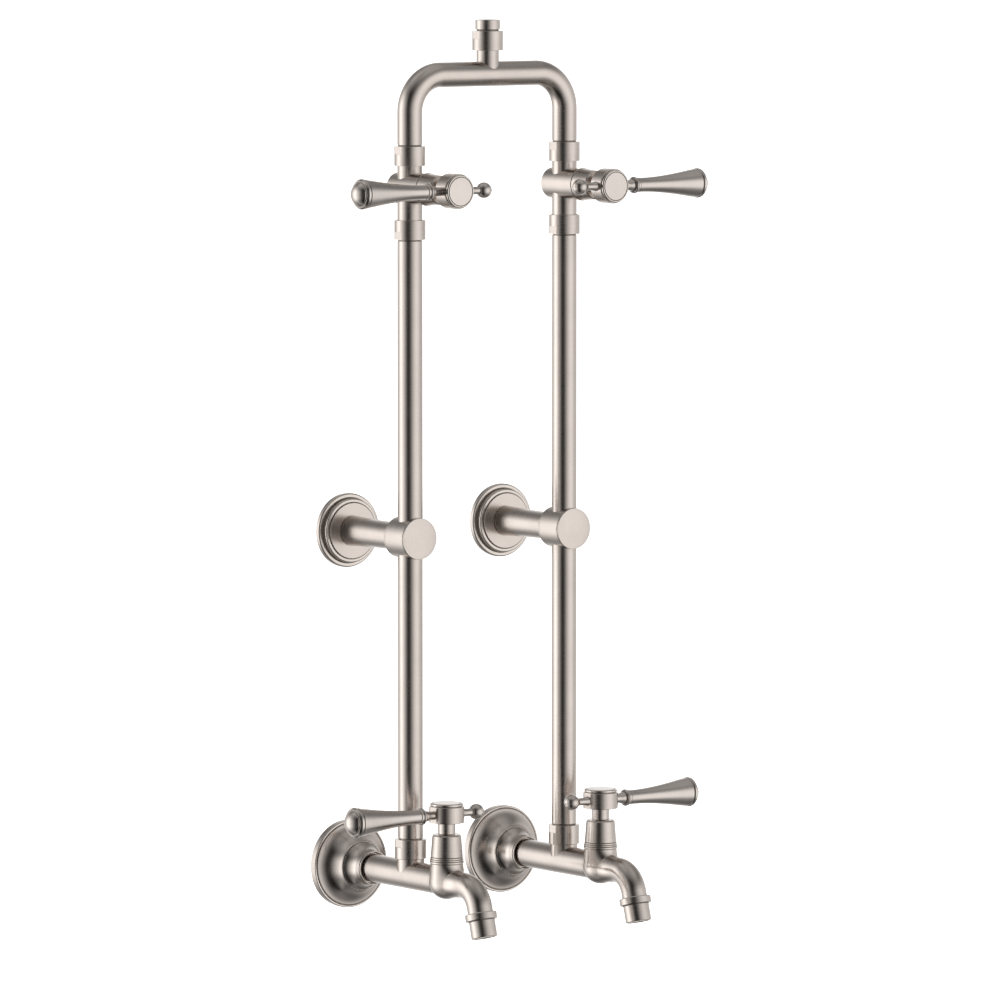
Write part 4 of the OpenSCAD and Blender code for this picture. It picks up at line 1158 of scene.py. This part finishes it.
@dataclass
class StopValve:
    """Barrel and two stubs of one stop valve."""

    side: Side
    places: Places
    barrel_r: float = 16.3
    back: float = 19.9
    seat: float = 31.0
    stub_r: float = 13.0
    union_up: float = 23.5
    union_down: float = 32.8

    def barrel(self) -> Skin:
        """The barrel: flat back, plain side, and the room for the cartridge in front."""
        stance = Stance((self.places.x(self.side), self.places.riser_y + self.back * MM, self.places.valve_z),
                        (0, -1, 0), (0, 0, 1))
        front = self.back + self.seat
        outline = rounded([
            [0, 0.25, 0], [self.barrel_r - 3, 0.1, 1.0], [self.barrel_r, 0, 0.9],
            [self.barrel_r, front, 0.45], [11.85, front, 0.3], [11.85, front - 10.5, 0.2],
            [11.0, front - 10.5, 0.2], [11.0, front - 18.5, 0.3], [0, front - 18.5, 0],
        ], closed=False)
        return carried(outline, Route(stance), 112)

    def stubs(self) -> Skin:
        """The tube through the barrel, up to one union and down to the other."""
        stance = Stance((self.places.x(self.side), self.places.riser_y, self.places.valve_z), (0, 0, 1),
                        (-1, 0, 0))
        low, high = -self.union_down - 1.2, self.union_up + 1.2
        outline = rounded([[0, low, 0], [self.stub_r, low, 0.2], [self.stub_r, high, 0.2], [0, high, 0]],
                          closed=False)
        union = Union()
        under = Stance(stance.shifted(-self.union_down).origin, (0, 0, -1), (-1, 0, 0))
        return Skin.joined([carried(outline, Route(stance), 96), union.thread(stance.shifted(self.union_up)),
                            union.thread(under)])

    def build(self, palette: Palette) -> None:
        """Makes and dresses the valve body."""
        skin = Skin.joined([self.barrel(), self.stubs()])
        piece(f"{self.side.word}_valve_skin", skin, palette.turned, Body.COLUMN.value,
              [f"{self.side.word}_valve_body"])


@dataclass
class HandleSet:
    """Bonnet, hub, index, lever and finial of one tap or stop valve, measured up from its seat."""

    side: Side
    service: Service
    places: Places
    bonnet_h: float = 25.8
    bonnet_r: float = 17.1
    bonnet_top_r: float = 14.85
    neck_r: float = 9.0
    neck_z: float = 26.3
    hub_z: float = 37.9
    hub_r: float = 18.2
    hub_top: float = 54.9
    hub_reach: float = 17.4
    index_r: float = 17.1
    index_h: float = 3.6
    lever_l: float = 126.8
    lever_r: float = 15.6
    grip_r: float = 7.55
    dome_r: float = 14.85
    finial_r: float = 8.2
    finial_reach: float = 38.0

    @property
    def title(self) -> str:
        """The set's name, which starts its pieces' names."""
        return f"{self.side.word}_{self.service.value}"

    @property
    def lever_height(self) -> float:
        """Height of the lever's axis over the seat."""
        return (self.hub_z + self.hub_top) / 2

    @property
    def stance(self) -> Stance:
        """On the seat, looking along the spindle, with out along the lever."""
        joint = next(j for j in frame["joints"] if j["name"] == f"{self.title}_turn")
        along = tuple(float(abs(c) * (1 if self.service is Service.TAP else -1)) for c in joint["axis"])
        hub = Stance(tuple(joint["pos_m"]), along, (float(self.side.value), 0.0, 0.0))
        return hub.shifted(-self.lever_height)

    def bonnet(self) -> Skin:
        """Tapered cover with a bead at its foot and a stepped shoulder at its top."""
        foot, top, height = self.bonnet_r, self.bonnet_top_r, self.bonnet_h
        outline = rounded([
            [12.9, 0, 0.2], [foot - 0.55, 0.05, 0.3], [foot, 0.55, 0.4], [foot, 1.75, 0.45],
            [foot - 0.75, 2.25, 0.2], [foot - 0.42, 2.9, 0.4], [top + 0.16, height - 1.7, 0.4],
            [top - 0.45, height - 0.95, 0.25], [top - 0.95, height, 0.35], [5.5, height, 0.2],
            [5.5, height - 1.5, 0.2], [12.9, height - 2, 0.3],
        ])
        return carried(outline, Route(self.stance), 112)

    def hub(self) -> Skin:
        """Neck and drum, with two flats and the rooms for the spindle and the screw."""
        flats = Flats(self.hub_reach)
        outline = rounded([
            [4.05, self.neck_z, 0.2], [self.neck_r, self.neck_z, 0.25], [self.neck_r, self.hub_z - 0.05, 0.35],
            [self.hub_r, self.hub_z, 0.75], [self.hub_r, self.hub_top, 0.7], [6.0, self.hub_top, 0.2],
            [6.0, self.hub_top - 6, 0.2], [2.15, self.hub_top - 6, 0.1], [2.15, self.hub_top - 9, 0.1],
            [4.05, self.hub_top - 9, 0.1],
        ])
        return carried(outline, Route(self.stance), shaper=flats, angles=flats.angles(self.hub_r))

    def index(self) -> Skin:
        """Button with an undercut, a rounded edge, a ring groove and a slightly crowned face."""
        base, r = self.hub_top, self.index_r
        face = base + self.index_h
        outline = rounded([
            [0, base - 3, 0], [5.95, base - 3, 0.3], [5.95, base + 0.02, 0.1], [r - 1.2, base + 0.02, 0.2],
            [r - 1.2, base + 0.6, 0.2], [r, base + 0.95, 0.35], [r, face - 0.95, 0.6],
            [r - 0.85, face - 0.1, 0.5], [r - 1.75, face - 0.1, 0.1], [r - 2.0, face - 0.9, 0.1],
            [r - 2.55, face - 0.9, 0.1], [r - 2.8, face - 0.1, 0.1], [r - 4, face - 0.07, 0],
            [r * 0.5, face - 0.02, 0], [0, face, 0],
        ], closed=False)
        return carried(outline, Route(self.stance), 128)

    def lever(self) -> Skin:
        """Waisted stem, bead, trumpet grip, ring and domed end, along the lever's axis."""
        end = self.lever_l
        ring, neck = self.lever_r, self.grip_r
        grip = smooth([[neck, 37.4], [neck, 45], [8.0, 57], [9.1, 70], [10.6, 83], [12.3, 95], [13.9, 105],
                       [15.0, 112.6]], 60)
        outline = rounded([
            [0, 10.4, 0], [3.0, 10.4, 0.4], [3.0, 17.3, 0.2], [4.6, 17.4, 0.3],
            *smooth([[4.5, 18.6], [4.5, 20.4], [4.9, 23.6], [5.6, 26.4], [6.3, 29.7]], 20),
            [7.3, 30.7, 0.25], *arc((7.25, 32.4), 1.6, (-55, 55), 10), [7.95, 34.4, 0.2], [7.95, 36.0, 0.3],
            [7.35, 36.3, 0.2], *grip, [15.05, 113.3, 0.2], [14.3, 113.85, 0.15], [15.0, 114.35, 0.35],
            [ring, 115.1, 0.6], [ring, 117.2, 0.9], [14.6, 118.6, 0.5], [13.68, 119.5, 0.3],
            [13.28, 119.2, 0.15], [12.45, 119.2, 0.15],
            *arc((0, end - self.dome_r), self.dome_r, (32.8, 89), 24),
            [0, end, 0],
        ], closed=False)
        return carried(outline, Route(self.stance.lying(self.lever_height)), 112)

    def finial(self) -> Skin:
        """Flared neck and ball opposite the lever."""
        reach, ball = self.finial_reach, self.finial_r
        outline = rounded([
            [0, 10.4, 0], [3.0, 10.4, 0.4], [3.0, 17.3, 0.2], [5.1, 17.4, 0.35],
            *smooth([[4.8, 19], [4.2, 21.8], [3.9, 25.4], [4.0, 29.8]], 24),
            *arc((0, reach), ball, (-58, 88), 34), [0, reach + ball, 0],
        ], closed=False)
        return carried(outline, Route(self.stance.lying(self.lever_height, flip=True)), 96)

    def build(self, palette: Palette) -> None:
        """Makes and dresses the bonnet, which stays, and the pieces that turn."""
        title, turning = self.title, f"{self.title}_handle"
        piece(f"{title}_bonnet_skin", self.bonnet(), palette.turned, Body.COLUMN.value, [f"{title}_bonnet"])
        for part, skin, finish in (("hub", self.hub(), palette.turned), ("index", self.index(), palette.smooth),
                                   ("lever", self.lever(), palette.smooth),
                                   ("finial", self.finial(), palette.smooth)):
            piece(f"{title}_{part}_skin", skin, finish, turning, [f"{title}_{part}"])


@dataclass
class Risers:
    """Both risers, the bridge with its take-off, the tail and all the union nuts."""

    places: Places
    tube_r: float = 13.0
    bore_r: float = 11.5
    nut_z: float = 17.6
    valve_low: float = 682.6
    valve_up: float = 738.9
    bridge_z: float = 831.9
    bend_r: float = 38.0
    stub_r: float = 11.75
    top_nut_z: float = 856.5
    tail_rise: float = 11.6
    recess_r: float = 12.2

    def end_rows(self, start: float, sign: float) -> list:
        """Corners of a tube's end: its collar, the plain part in the nut and the recess outside the nut.

        Args:
            start: height of the end.
            sign: 1 where heights rise away from the end, -1 where they fall.

        Returns:
            The corners from the end onwards, or in from the tube for a sign of -1.
        """
        rows = [[self.bore_r, 0, 0.2], [14.2, 0, 0.2], [14.2, 2, 0.2], [self.tube_r, 2, 0.2],
                [self.tube_r, 7.65, 0.1], [self.recess_r, 7.75, 0.1], [self.recess_r, 8.95, 0.15],
                [self.tube_r, 9.1, 0.25]]
        rows = [[radius, start + sign * height, fillet] for radius, height, fillet in rows]
        return rows if sign > 0 else rows[::-1]

    def riser(self, side: Side) -> Skin:
        """A plain tube with a collar at each end."""
        foot, head = self.nut_z + 12.5, self.valve_low - 12.5
        outline = rounded(self.end_rows(foot, 1) + self.end_rows(head, -1))
        return carried(outline, Route(self.places.riser(side)), 112)

    def bridge(self) -> Skin:
        """The bridge: up one side, over and down, with the take-off stub in the middle."""
        start = self.valve_up + 12.5
        rise = self.bridge_z - self.bend_r - start
        span = 2 * (self.places.half_spacing / MM - self.bend_r)
        quarter = self.bend_r * math.pi / 2
        foot = Stance((self.places.x(Side.HOT), self.places.riser_y, start * MM), (0, 0, 1), (1, 0, 0))
        route = Route(foot, (Leg(rise), Leg(quarter, self.bend_r), Leg(span), Leg(quarter, self.bend_r),
                             Leg(rise)))
        end = 2 * rise + 2 * quarter + span
        outline = rounded(self.end_rows(0, 1) + self.end_rows(end, -1))
        middle = Stance((0.0, self.places.riser_y, 0.0), (0, 0, 1), (-1, 0, 0))
        stub = rounded([[0, self.bridge_z, 0], [self.stub_r, self.bridge_z, 0.2],
                        [self.stub_r, self.top_nut_z + 1.2, 0.2], [0, self.top_nut_z + 1.2, 0]], closed=False)
        thread = Union().thread(middle.shifted(self.top_nut_z))
        return Skin.joined([carried(outline, route, 112), carried(stub, Route(middle), 96), thread])

    def tail(self) -> Skin:
        """Open tail with a groove over the top nut."""
        middle = Stance((0.0, self.places.riser_y, self.top_nut_z * MM), (0, 0, 1), (-1, 0, 0))
        nut_h = Union.nut_h
        head = nut_h + self.tail_rise
        socket = self.bore_r - 1
        outline = rounded([
            [socket, 12.5, 0.2], [14.2, 12.5, 0.2], [14.2, 14.5, 0.2], [self.tube_r, 14.5, 0.2],
            [self.tube_r, nut_h + 0.05, 0.15], [11.45, nut_h + 0.15, 0.3], [11.45, nut_h + 1.5, 0.3],
            [self.tube_r, nut_h + 1.6, 0.35],
            [self.tube_r, head, 0.6], [socket, head, 0.5],
        ])
        return carried(outline, Route(middle), 112)

    def nuts(self) -> Skin:
        """All seven union nuts."""
        union = Union()
        skins = []
        for side in Side:
            base = self.places.riser(side)
            under = Stance(base.shifted(self.valve_low).origin, (0, 0, -1), (-1, 0, 0))
            skins += [union.nut(base.shifted(self.nut_z)), union.nut(base.shifted(self.valve_up)),
                      union.nut(under)]
        top = Stance((0.0, self.places.riser_y, self.top_nut_z * MM), (0, 0, 1), (-1, 0, 0))
        return Skin.joined(skins + [union.nut(top)])

    def build(self, palette: Palette) -> None:
        """Makes and dresses the tubes and the nuts."""
        body = Body.COLUMN.value
        for side in Side:
            piece(f"{side.word}_riser_skin", self.riser(side), palette.drawn, body, [f"{side.word}_riser"])
        piece("bridge_skin", self.bridge(), palette.drawn, body, ["bridge_tube"])
        piece("tail_skin", self.tail(), palette.turned, body, ["top_tail"])
        piece("union_nut_skins", self.nuts(), palette.turned, body, ["union_nuts"])


@dataclass
class Bracket:
    """Wall bracket of one riser: stepped flange, arm, collar and cap."""

    side: Side
    places: Places
    rose_r: float = 39.0
    face: float = 13.0
    arm_r: float = 16.0
    arm_end_r: float = 14.3
    clamp_r: float = 21.5
    clamp_back: float = 97.5
    clamp_front: float = 132.5

    @property
    def stance(self) -> Stance:
        """On the wall at the bracket's height, looking out."""
        return self.places.wall(self.side, self.places.bracket_z)

    def flange(self) -> Skin:
        """Two rounded steps and a flat face."""
        r = self.rose_r
        step, face = r * 0.865, r * 0.75
        outline = rounded([
            [12.05, 4, 0.2], [r - 6, 4, 0.4], [r - 6, 0, 0.2], [r, 0, 0.5], [r, 5.8, 3.0],
            [step + 1.2, 5.85, 0.5], [step + 0.35, 5.2, 0.3], [step, 5.9, 0.3], [step, 11.65, 2.9],
            [face + 1.1, 11.75, 0.4], [face + 0.4, 11.2, 0.3], [face, 11.9, 0.3], [face, self.face, 0.45],
            [12.05, self.face, 0.2],
        ])
        return carried(outline, Route(self.stance), 144)

    def arm(self) -> Skin:
        """Tapered arm and the collar that grips the riser."""
        end = self.clamp_back
        post = rounded([
            [0, 0, 0], [12, 0, 0.3], [12, self.face + 0.02, 0.2], [self.arm_r - 1.1, self.face + 0.02, 0.1],
            [self.arm_r - 1.1, self.face + 0.6, 0.15], [self.arm_r - 0.1, self.face + 0.9, 0.3],
            *smooth([[self.arm_r, self.face + 1.4], [self.arm_r - 0.55, self.face + 12],
                     [self.arm_end_r + 0.35, self.face + 40], [self.arm_end_r, end - 1],
                     [self.arm_end_r, end + 4]], 30),
            [0, end + 4.5, 0],
        ], closed=False)
        collar = rounded([
            [0, end, 0], [self.clamp_r, end, 0.7], [self.clamp_r, end + 1.8, 0.1],
            [self.clamp_r - 0.35, end + 2.05, 0.1], [self.clamp_r, end + 2.3, 0.1],
            [self.clamp_r, self.clamp_front - 2.3, 0.5], [0, self.clamp_front - 2.3, 0],
        ], closed=False)
        return Skin.joined([carried(post, Route(self.stance), 112), carried(collar, Route(self.stance), 128)])

    def cap(self) -> Skin:
        """Low crowned cap, with a fine seam behind it: its height falls with the square of the radius."""
        front, r = self.clamp_front - 1.5, self.clamp_r
        t = np.linspace(0, 0.95, 14)
        crown = np.stack([(r - 0.6) * (1 - t), front + 1.5 + 1.1 * (1 - (1 - t) ** 2), 0 * t], 1).tolist()
        outline = rounded([
            [0, front - 0.8, 0], [r - 1.0, front - 0.8, 0.1], [r - 1.0, front, 0.1], [r, front, 0.3],
            [r, front + 1.2, 0.4], *crown[1:], [0, front + 2.6, 0],
        ], closed=False)
        return carried(outline, Route(self.stance), 128)

    def build(self, palette: Palette) -> None:
        """Makes and dresses the flange and the arm."""
        word, body = self.side.word, Body.COLUMN.value
        piece(f"{word}_bracket_flange_skin", self.flange(), palette.turned, body, [f"{word}_bracket_flange"])
        piece(f"{word}_bracket_arm_skin", self.arm(), palette.turned, body, [f"{word}_bracket_arm"])


@dataclass
class Inside:
    """The pieces that keep their CAD shape: threads, cartridges, discs, seals, screws and washers."""

    palette: Palette

    def build(self) -> None:
        """Gives each carried-over node its own finish."""
        dress = {
            "inlet_nipples": self.palette.brass, "cartridges": self.palette.brass,
            "fixed_discs": self.palette.ceramic, "cartridge_seals": self.palette.rubber,
            "outlet_washers": self.palette.rubber, "union_washers": self.palette.fibre,
            "aerators": self.palette.plastic, "grub_screws": self.palette.steel,
        }
        for side in Side:
            for service in Service:
                title = f"{side.word}_{service.value}"
                dress[f"{title}_spindle"] = self.palette.brass
                dress[f"{title}_screw"] = self.palette.steel
                dress[f"{title}_disc"] = self.palette.ceramic
        for name, finish in dress.items():
            node = frame["nodes"][name]
            for slot in node.material_slots:
                slot.material = finish
            LOG.info("%s keeps its own shape, dressed as %s", name, finish.name)


# --- Studio ----------------------------------------------------------------------


@dataclass(frozen=True)
class Studio:
    """Plain pale floor, soft white surroundings and a long lens.

    Attributes:
        facing: the camera's bearing, in degrees from straight at the wall.
        drop: how far the camera looks down, in degrees.
        distance: from the camera to the point it looks at, in metres.
        aim: the point it looks at.
        lens: focal length on a 36 mm frame, in millimetres.
        floor_z: height of the floor.
        ring: bearing round the object, from the camera's side through its right, and brightness there.
    """

    facing: float = -36.5
    drop: float = 4.968
    distance: float = 8.03
    aim: Triple = (0.0103, -0.1226, 0.3868)
    lens: float = 276.5
    floor_z: float = -0.3
    ring: tuple[tuple[float, float], ...] = (
        (-180, 1.15), (-160, 0.8), (-143, 0.5), (-122, 0.72), (-104, 1.5), (-90, 1.9), (-78, 1.5), (-66, 1.02),
        (-52, 0.66), (-38, 0.26), (-28, 0.07), (-18, 0.02), (-6, 0.02), (4, 0.12), (14, 0.3), (26, 0.58),
        (40, 0.88), (58, 1.12), (76, 1.1), (90, 0.88), (104, 0.7), (124, 0.62), (145, 0.68), (162, 0.95),
        (180, 1.15),
    )

    @property
    def heading(self) -> Vector:
        """The camera's level heading; a bearing of 0 looks straight at the wall."""
        angle = math.radians(self.facing)
        return Vector((-math.sin(angle), math.cos(angle), 0.0))

    def camera(self) -> None:
        """Makes the camera."""
        drop = math.radians(self.drop)
        look = self.heading * math.cos(drop) + Vector((0, 0, -math.sin(drop)))
        data = bpy.data.cameras.new("studio_camera")
        data.lens, data.sensor_width = self.lens, 36.0
        data.clip_start, data.clip_end = 0.1, 200.0
        camera = bpy.data.objects.new("studio_camera", data)
        camera.location = Vector(self.aim) - look * self.distance
        camera.rotation_euler = look.to_track_quat("-Z", "Y").to_euler()
        bpy.context.scene.collection.objects.link(camera)
        bpy.context.scene.camera = camera

    def floor(self) -> None:
        """A pale floor that reads the same from above and lets a camera below see through it."""
        grid = np.linspace(-90, 90, 25)
        x, y = np.meshgrid(grid, grid)
        points = np.stack([x.ravel(), y.ravel(), np.full(x.size, self.floor_z)], 1)
        index = np.arange(x.size).reshape(x.shape)
        faces = np.stack([index[:-1, :-1], index[:-1, 1:], index[1:, 1:], index[1:, :-1]], 2).reshape(-1, 4)
        mesh = bpy.data.meshes.new("studio_floor")
        mesh.from_pydata(points.tolist(), [], faces.tolist())
        material, web, shader = start_material("pale_floor")
        where = web.add("ShaderNodeTexCoord").outputs["Object"]
        cloud = web.spread(web.noise(where, 3.0, 2.0, 0.5), 0.3, 0.7)
        web.join(web.blend(cloud, (0.9, 0.9, 0.9, 1), (0.93, 0.93, 0.925, 1)), shader.inputs["Base Color"])
        shader.inputs["Roughness"].default_value = 0.9
        shader.inputs["Emission Color"].default_value = (1, 1, 1, 1)
        shader.inputs["Emission Strength"].default_value = 1.1
        clear = web.add("ShaderNodeBsdfTransparent")
        mix = web.add("ShaderNodeMixShader")
        web.join(web.add("ShaderNodeNewGeometry").outputs["Backfacing"], mix.inputs[0])
        web.join(shader.outputs[0], mix.inputs[1])
        web.join(clear.outputs[0], mix.inputs[2])
        output = next(n for n in material.node_tree.nodes if n.type == "OUTPUT_MATERIAL")
        web.join(mix.outputs[0], output.inputs["Surface"])
        mesh.materials.append(material)
        floor = bpy.data.objects.new("studio_floor", mesh)
        floor.visible_glossy = False
        bpy.context.scene.collection.objects.link(floor)
        floor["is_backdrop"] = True

    def surroundings(self) -> None:
        """Soft boxes and dark gaps painted round the room.

        The brightness is a smooth ring of bearings, faded above and below by the height of the direction,
        with a faint even ceiling. What the camera sees directly is plain white.
        """
        world = bpy.data.worlds.new("studio_world")
        world.use_nodes = True
        bpy.context.scene.world = world
        web = Web(world.node_tree)
        ahead = self.heading
        right = Vector((ahead.y, -ahead.x, 0.0))
        way = web.add("ShaderNodeTexCoord").outputs["Generated"]
        to_right = web.vector("DOT_PRODUCT", way, tuple(right), 1)
        to_camera = web.vector("DOT_PRODUCT", way, tuple(-ahead), 1)
        bearing = web.math("ARCTAN2", to_right, to_camera)
        share = web.math("ADD", web.math("DIVIDE", bearing, 2 * math.pi), 0.5)
        ramp = web.add("ShaderNodeValToRGB")
        ramp.color_ramp.interpolation = "B_SPLINE"
        stops = ramp.color_ramp.elements
        while len(stops) < len(self.ring):
            stops.new(0.5)
        for stop, (angle, bright) in zip(stops, self.ring):
            stop.position = angle / 360 + 0.5
            stop.color = (bright / 2, bright / 2, bright / 2, 1)
        web.join(share, ramp.inputs["Fac"])
        level = web.math("MULTIPLY", ramp.outputs["Color"], 2.0)
        height = web.add("ShaderNodeSeparateXYZ")
        web.join(way, height.inputs[0])
        z = height.outputs["Z"]
        over = web.spread(z, 0.12, 0.78, 1.0, 0.14)
        under = web.spread(z, -0.82, -0.32, 0.22, 1.0)
        sides = web.math("MULTIPLY", level, web.math("MULTIPLY", over, under))
        ceiling = web.math("MULTIPLY", web.spread(z, 0.55, 0.95), 0.3)
        light = web.math("ADD", sides, ceiling)
        glow = web.add("ShaderNodeBackground")
        web.join(light, glow.inputs["Strength"])
        glow.inputs["Color"].default_value = (1.0, 0.995, 0.985, 1)
        plain = web.add("ShaderNodeBackground")
        plain.inputs["Color"].default_value = (1, 1, 1, 1)
        plain.inputs["Strength"].default_value = 1.0
        mix = web.add("ShaderNodeMixShader")
        web.join(web.add("ShaderNodeLightPath").outputs["Is Camera Ray"], mix.inputs[0])
        web.join(glow.outputs[0], mix.inputs[1])
        web.join(plain.outputs[0], mix.inputs[2])
        output = next(n for n in world.node_tree.nodes if n.type == "OUTPUT_WORLD")
        web.join(mix.outputs[0], output.inputs["Surface"])

    def lights(self) -> None:
        """Two large soft lights that lift what isn't polished; the metal doesn't mirror them."""
        for name, place, power, size in (("soft_key", (-2.6, -2.2, 2.6), 60.0, 2.4),
                                         ("soft_fill", (2.4, -2.6, 1.8), 35.0, 2.4)):
            data = bpy.data.lights.new(name, "AREA")
            data.energy, data.size = power, size
            lamp = bpy.data.objects.new(name, data)
            lamp.location = place
            aim = Vector((0, -0.1, 0.4)) - Vector(place)
            lamp.rotation_euler = aim.to_track_quat("-Z", "Y").to_euler()
            lamp.visible_glossy = False
            bpy.context.scene.collection.objects.link(lamp)

    def build(self) -> None:
        """Sets up the whole studio."""
        bpy.context.scene.view_settings.view_transform = "Standard"
        self.camera()
        self.floor()
        self.surroundings()
        self.lights()


def main() -> None:
    """Builds the column piece by piece, then the studio, and works out both boxes."""
    logging.basicConfig(level=logging.INFO, format="%(name)s %(message)s")
    places = Places.read()
    palette = Palette()
    for side in Side:
        Inlet(side, places).build(palette)
        TapBody(side, places).build(palette)
        StopValve(side, places).build(palette)
        Bracket(side, places).build(palette)
        for service in Service:
            HandleSet(side, service, places).build(palette)
    Risers(places).build(palette)
    caps = Skin.joined([Bracket(side, places).cap() for side in Side])
    piece("bracket_cap_skins", caps, palette.turned, Body.COLUMN.value, ["bracket_caps"])
    Inside(palette).build()
    Studio().build()
    boxes = {name: [[float(c) for c in corner] for corner in box]
             for name, box in (("cad", CAD_BOX), ("visual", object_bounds()))}


if __name__ == "__main__":
    main()
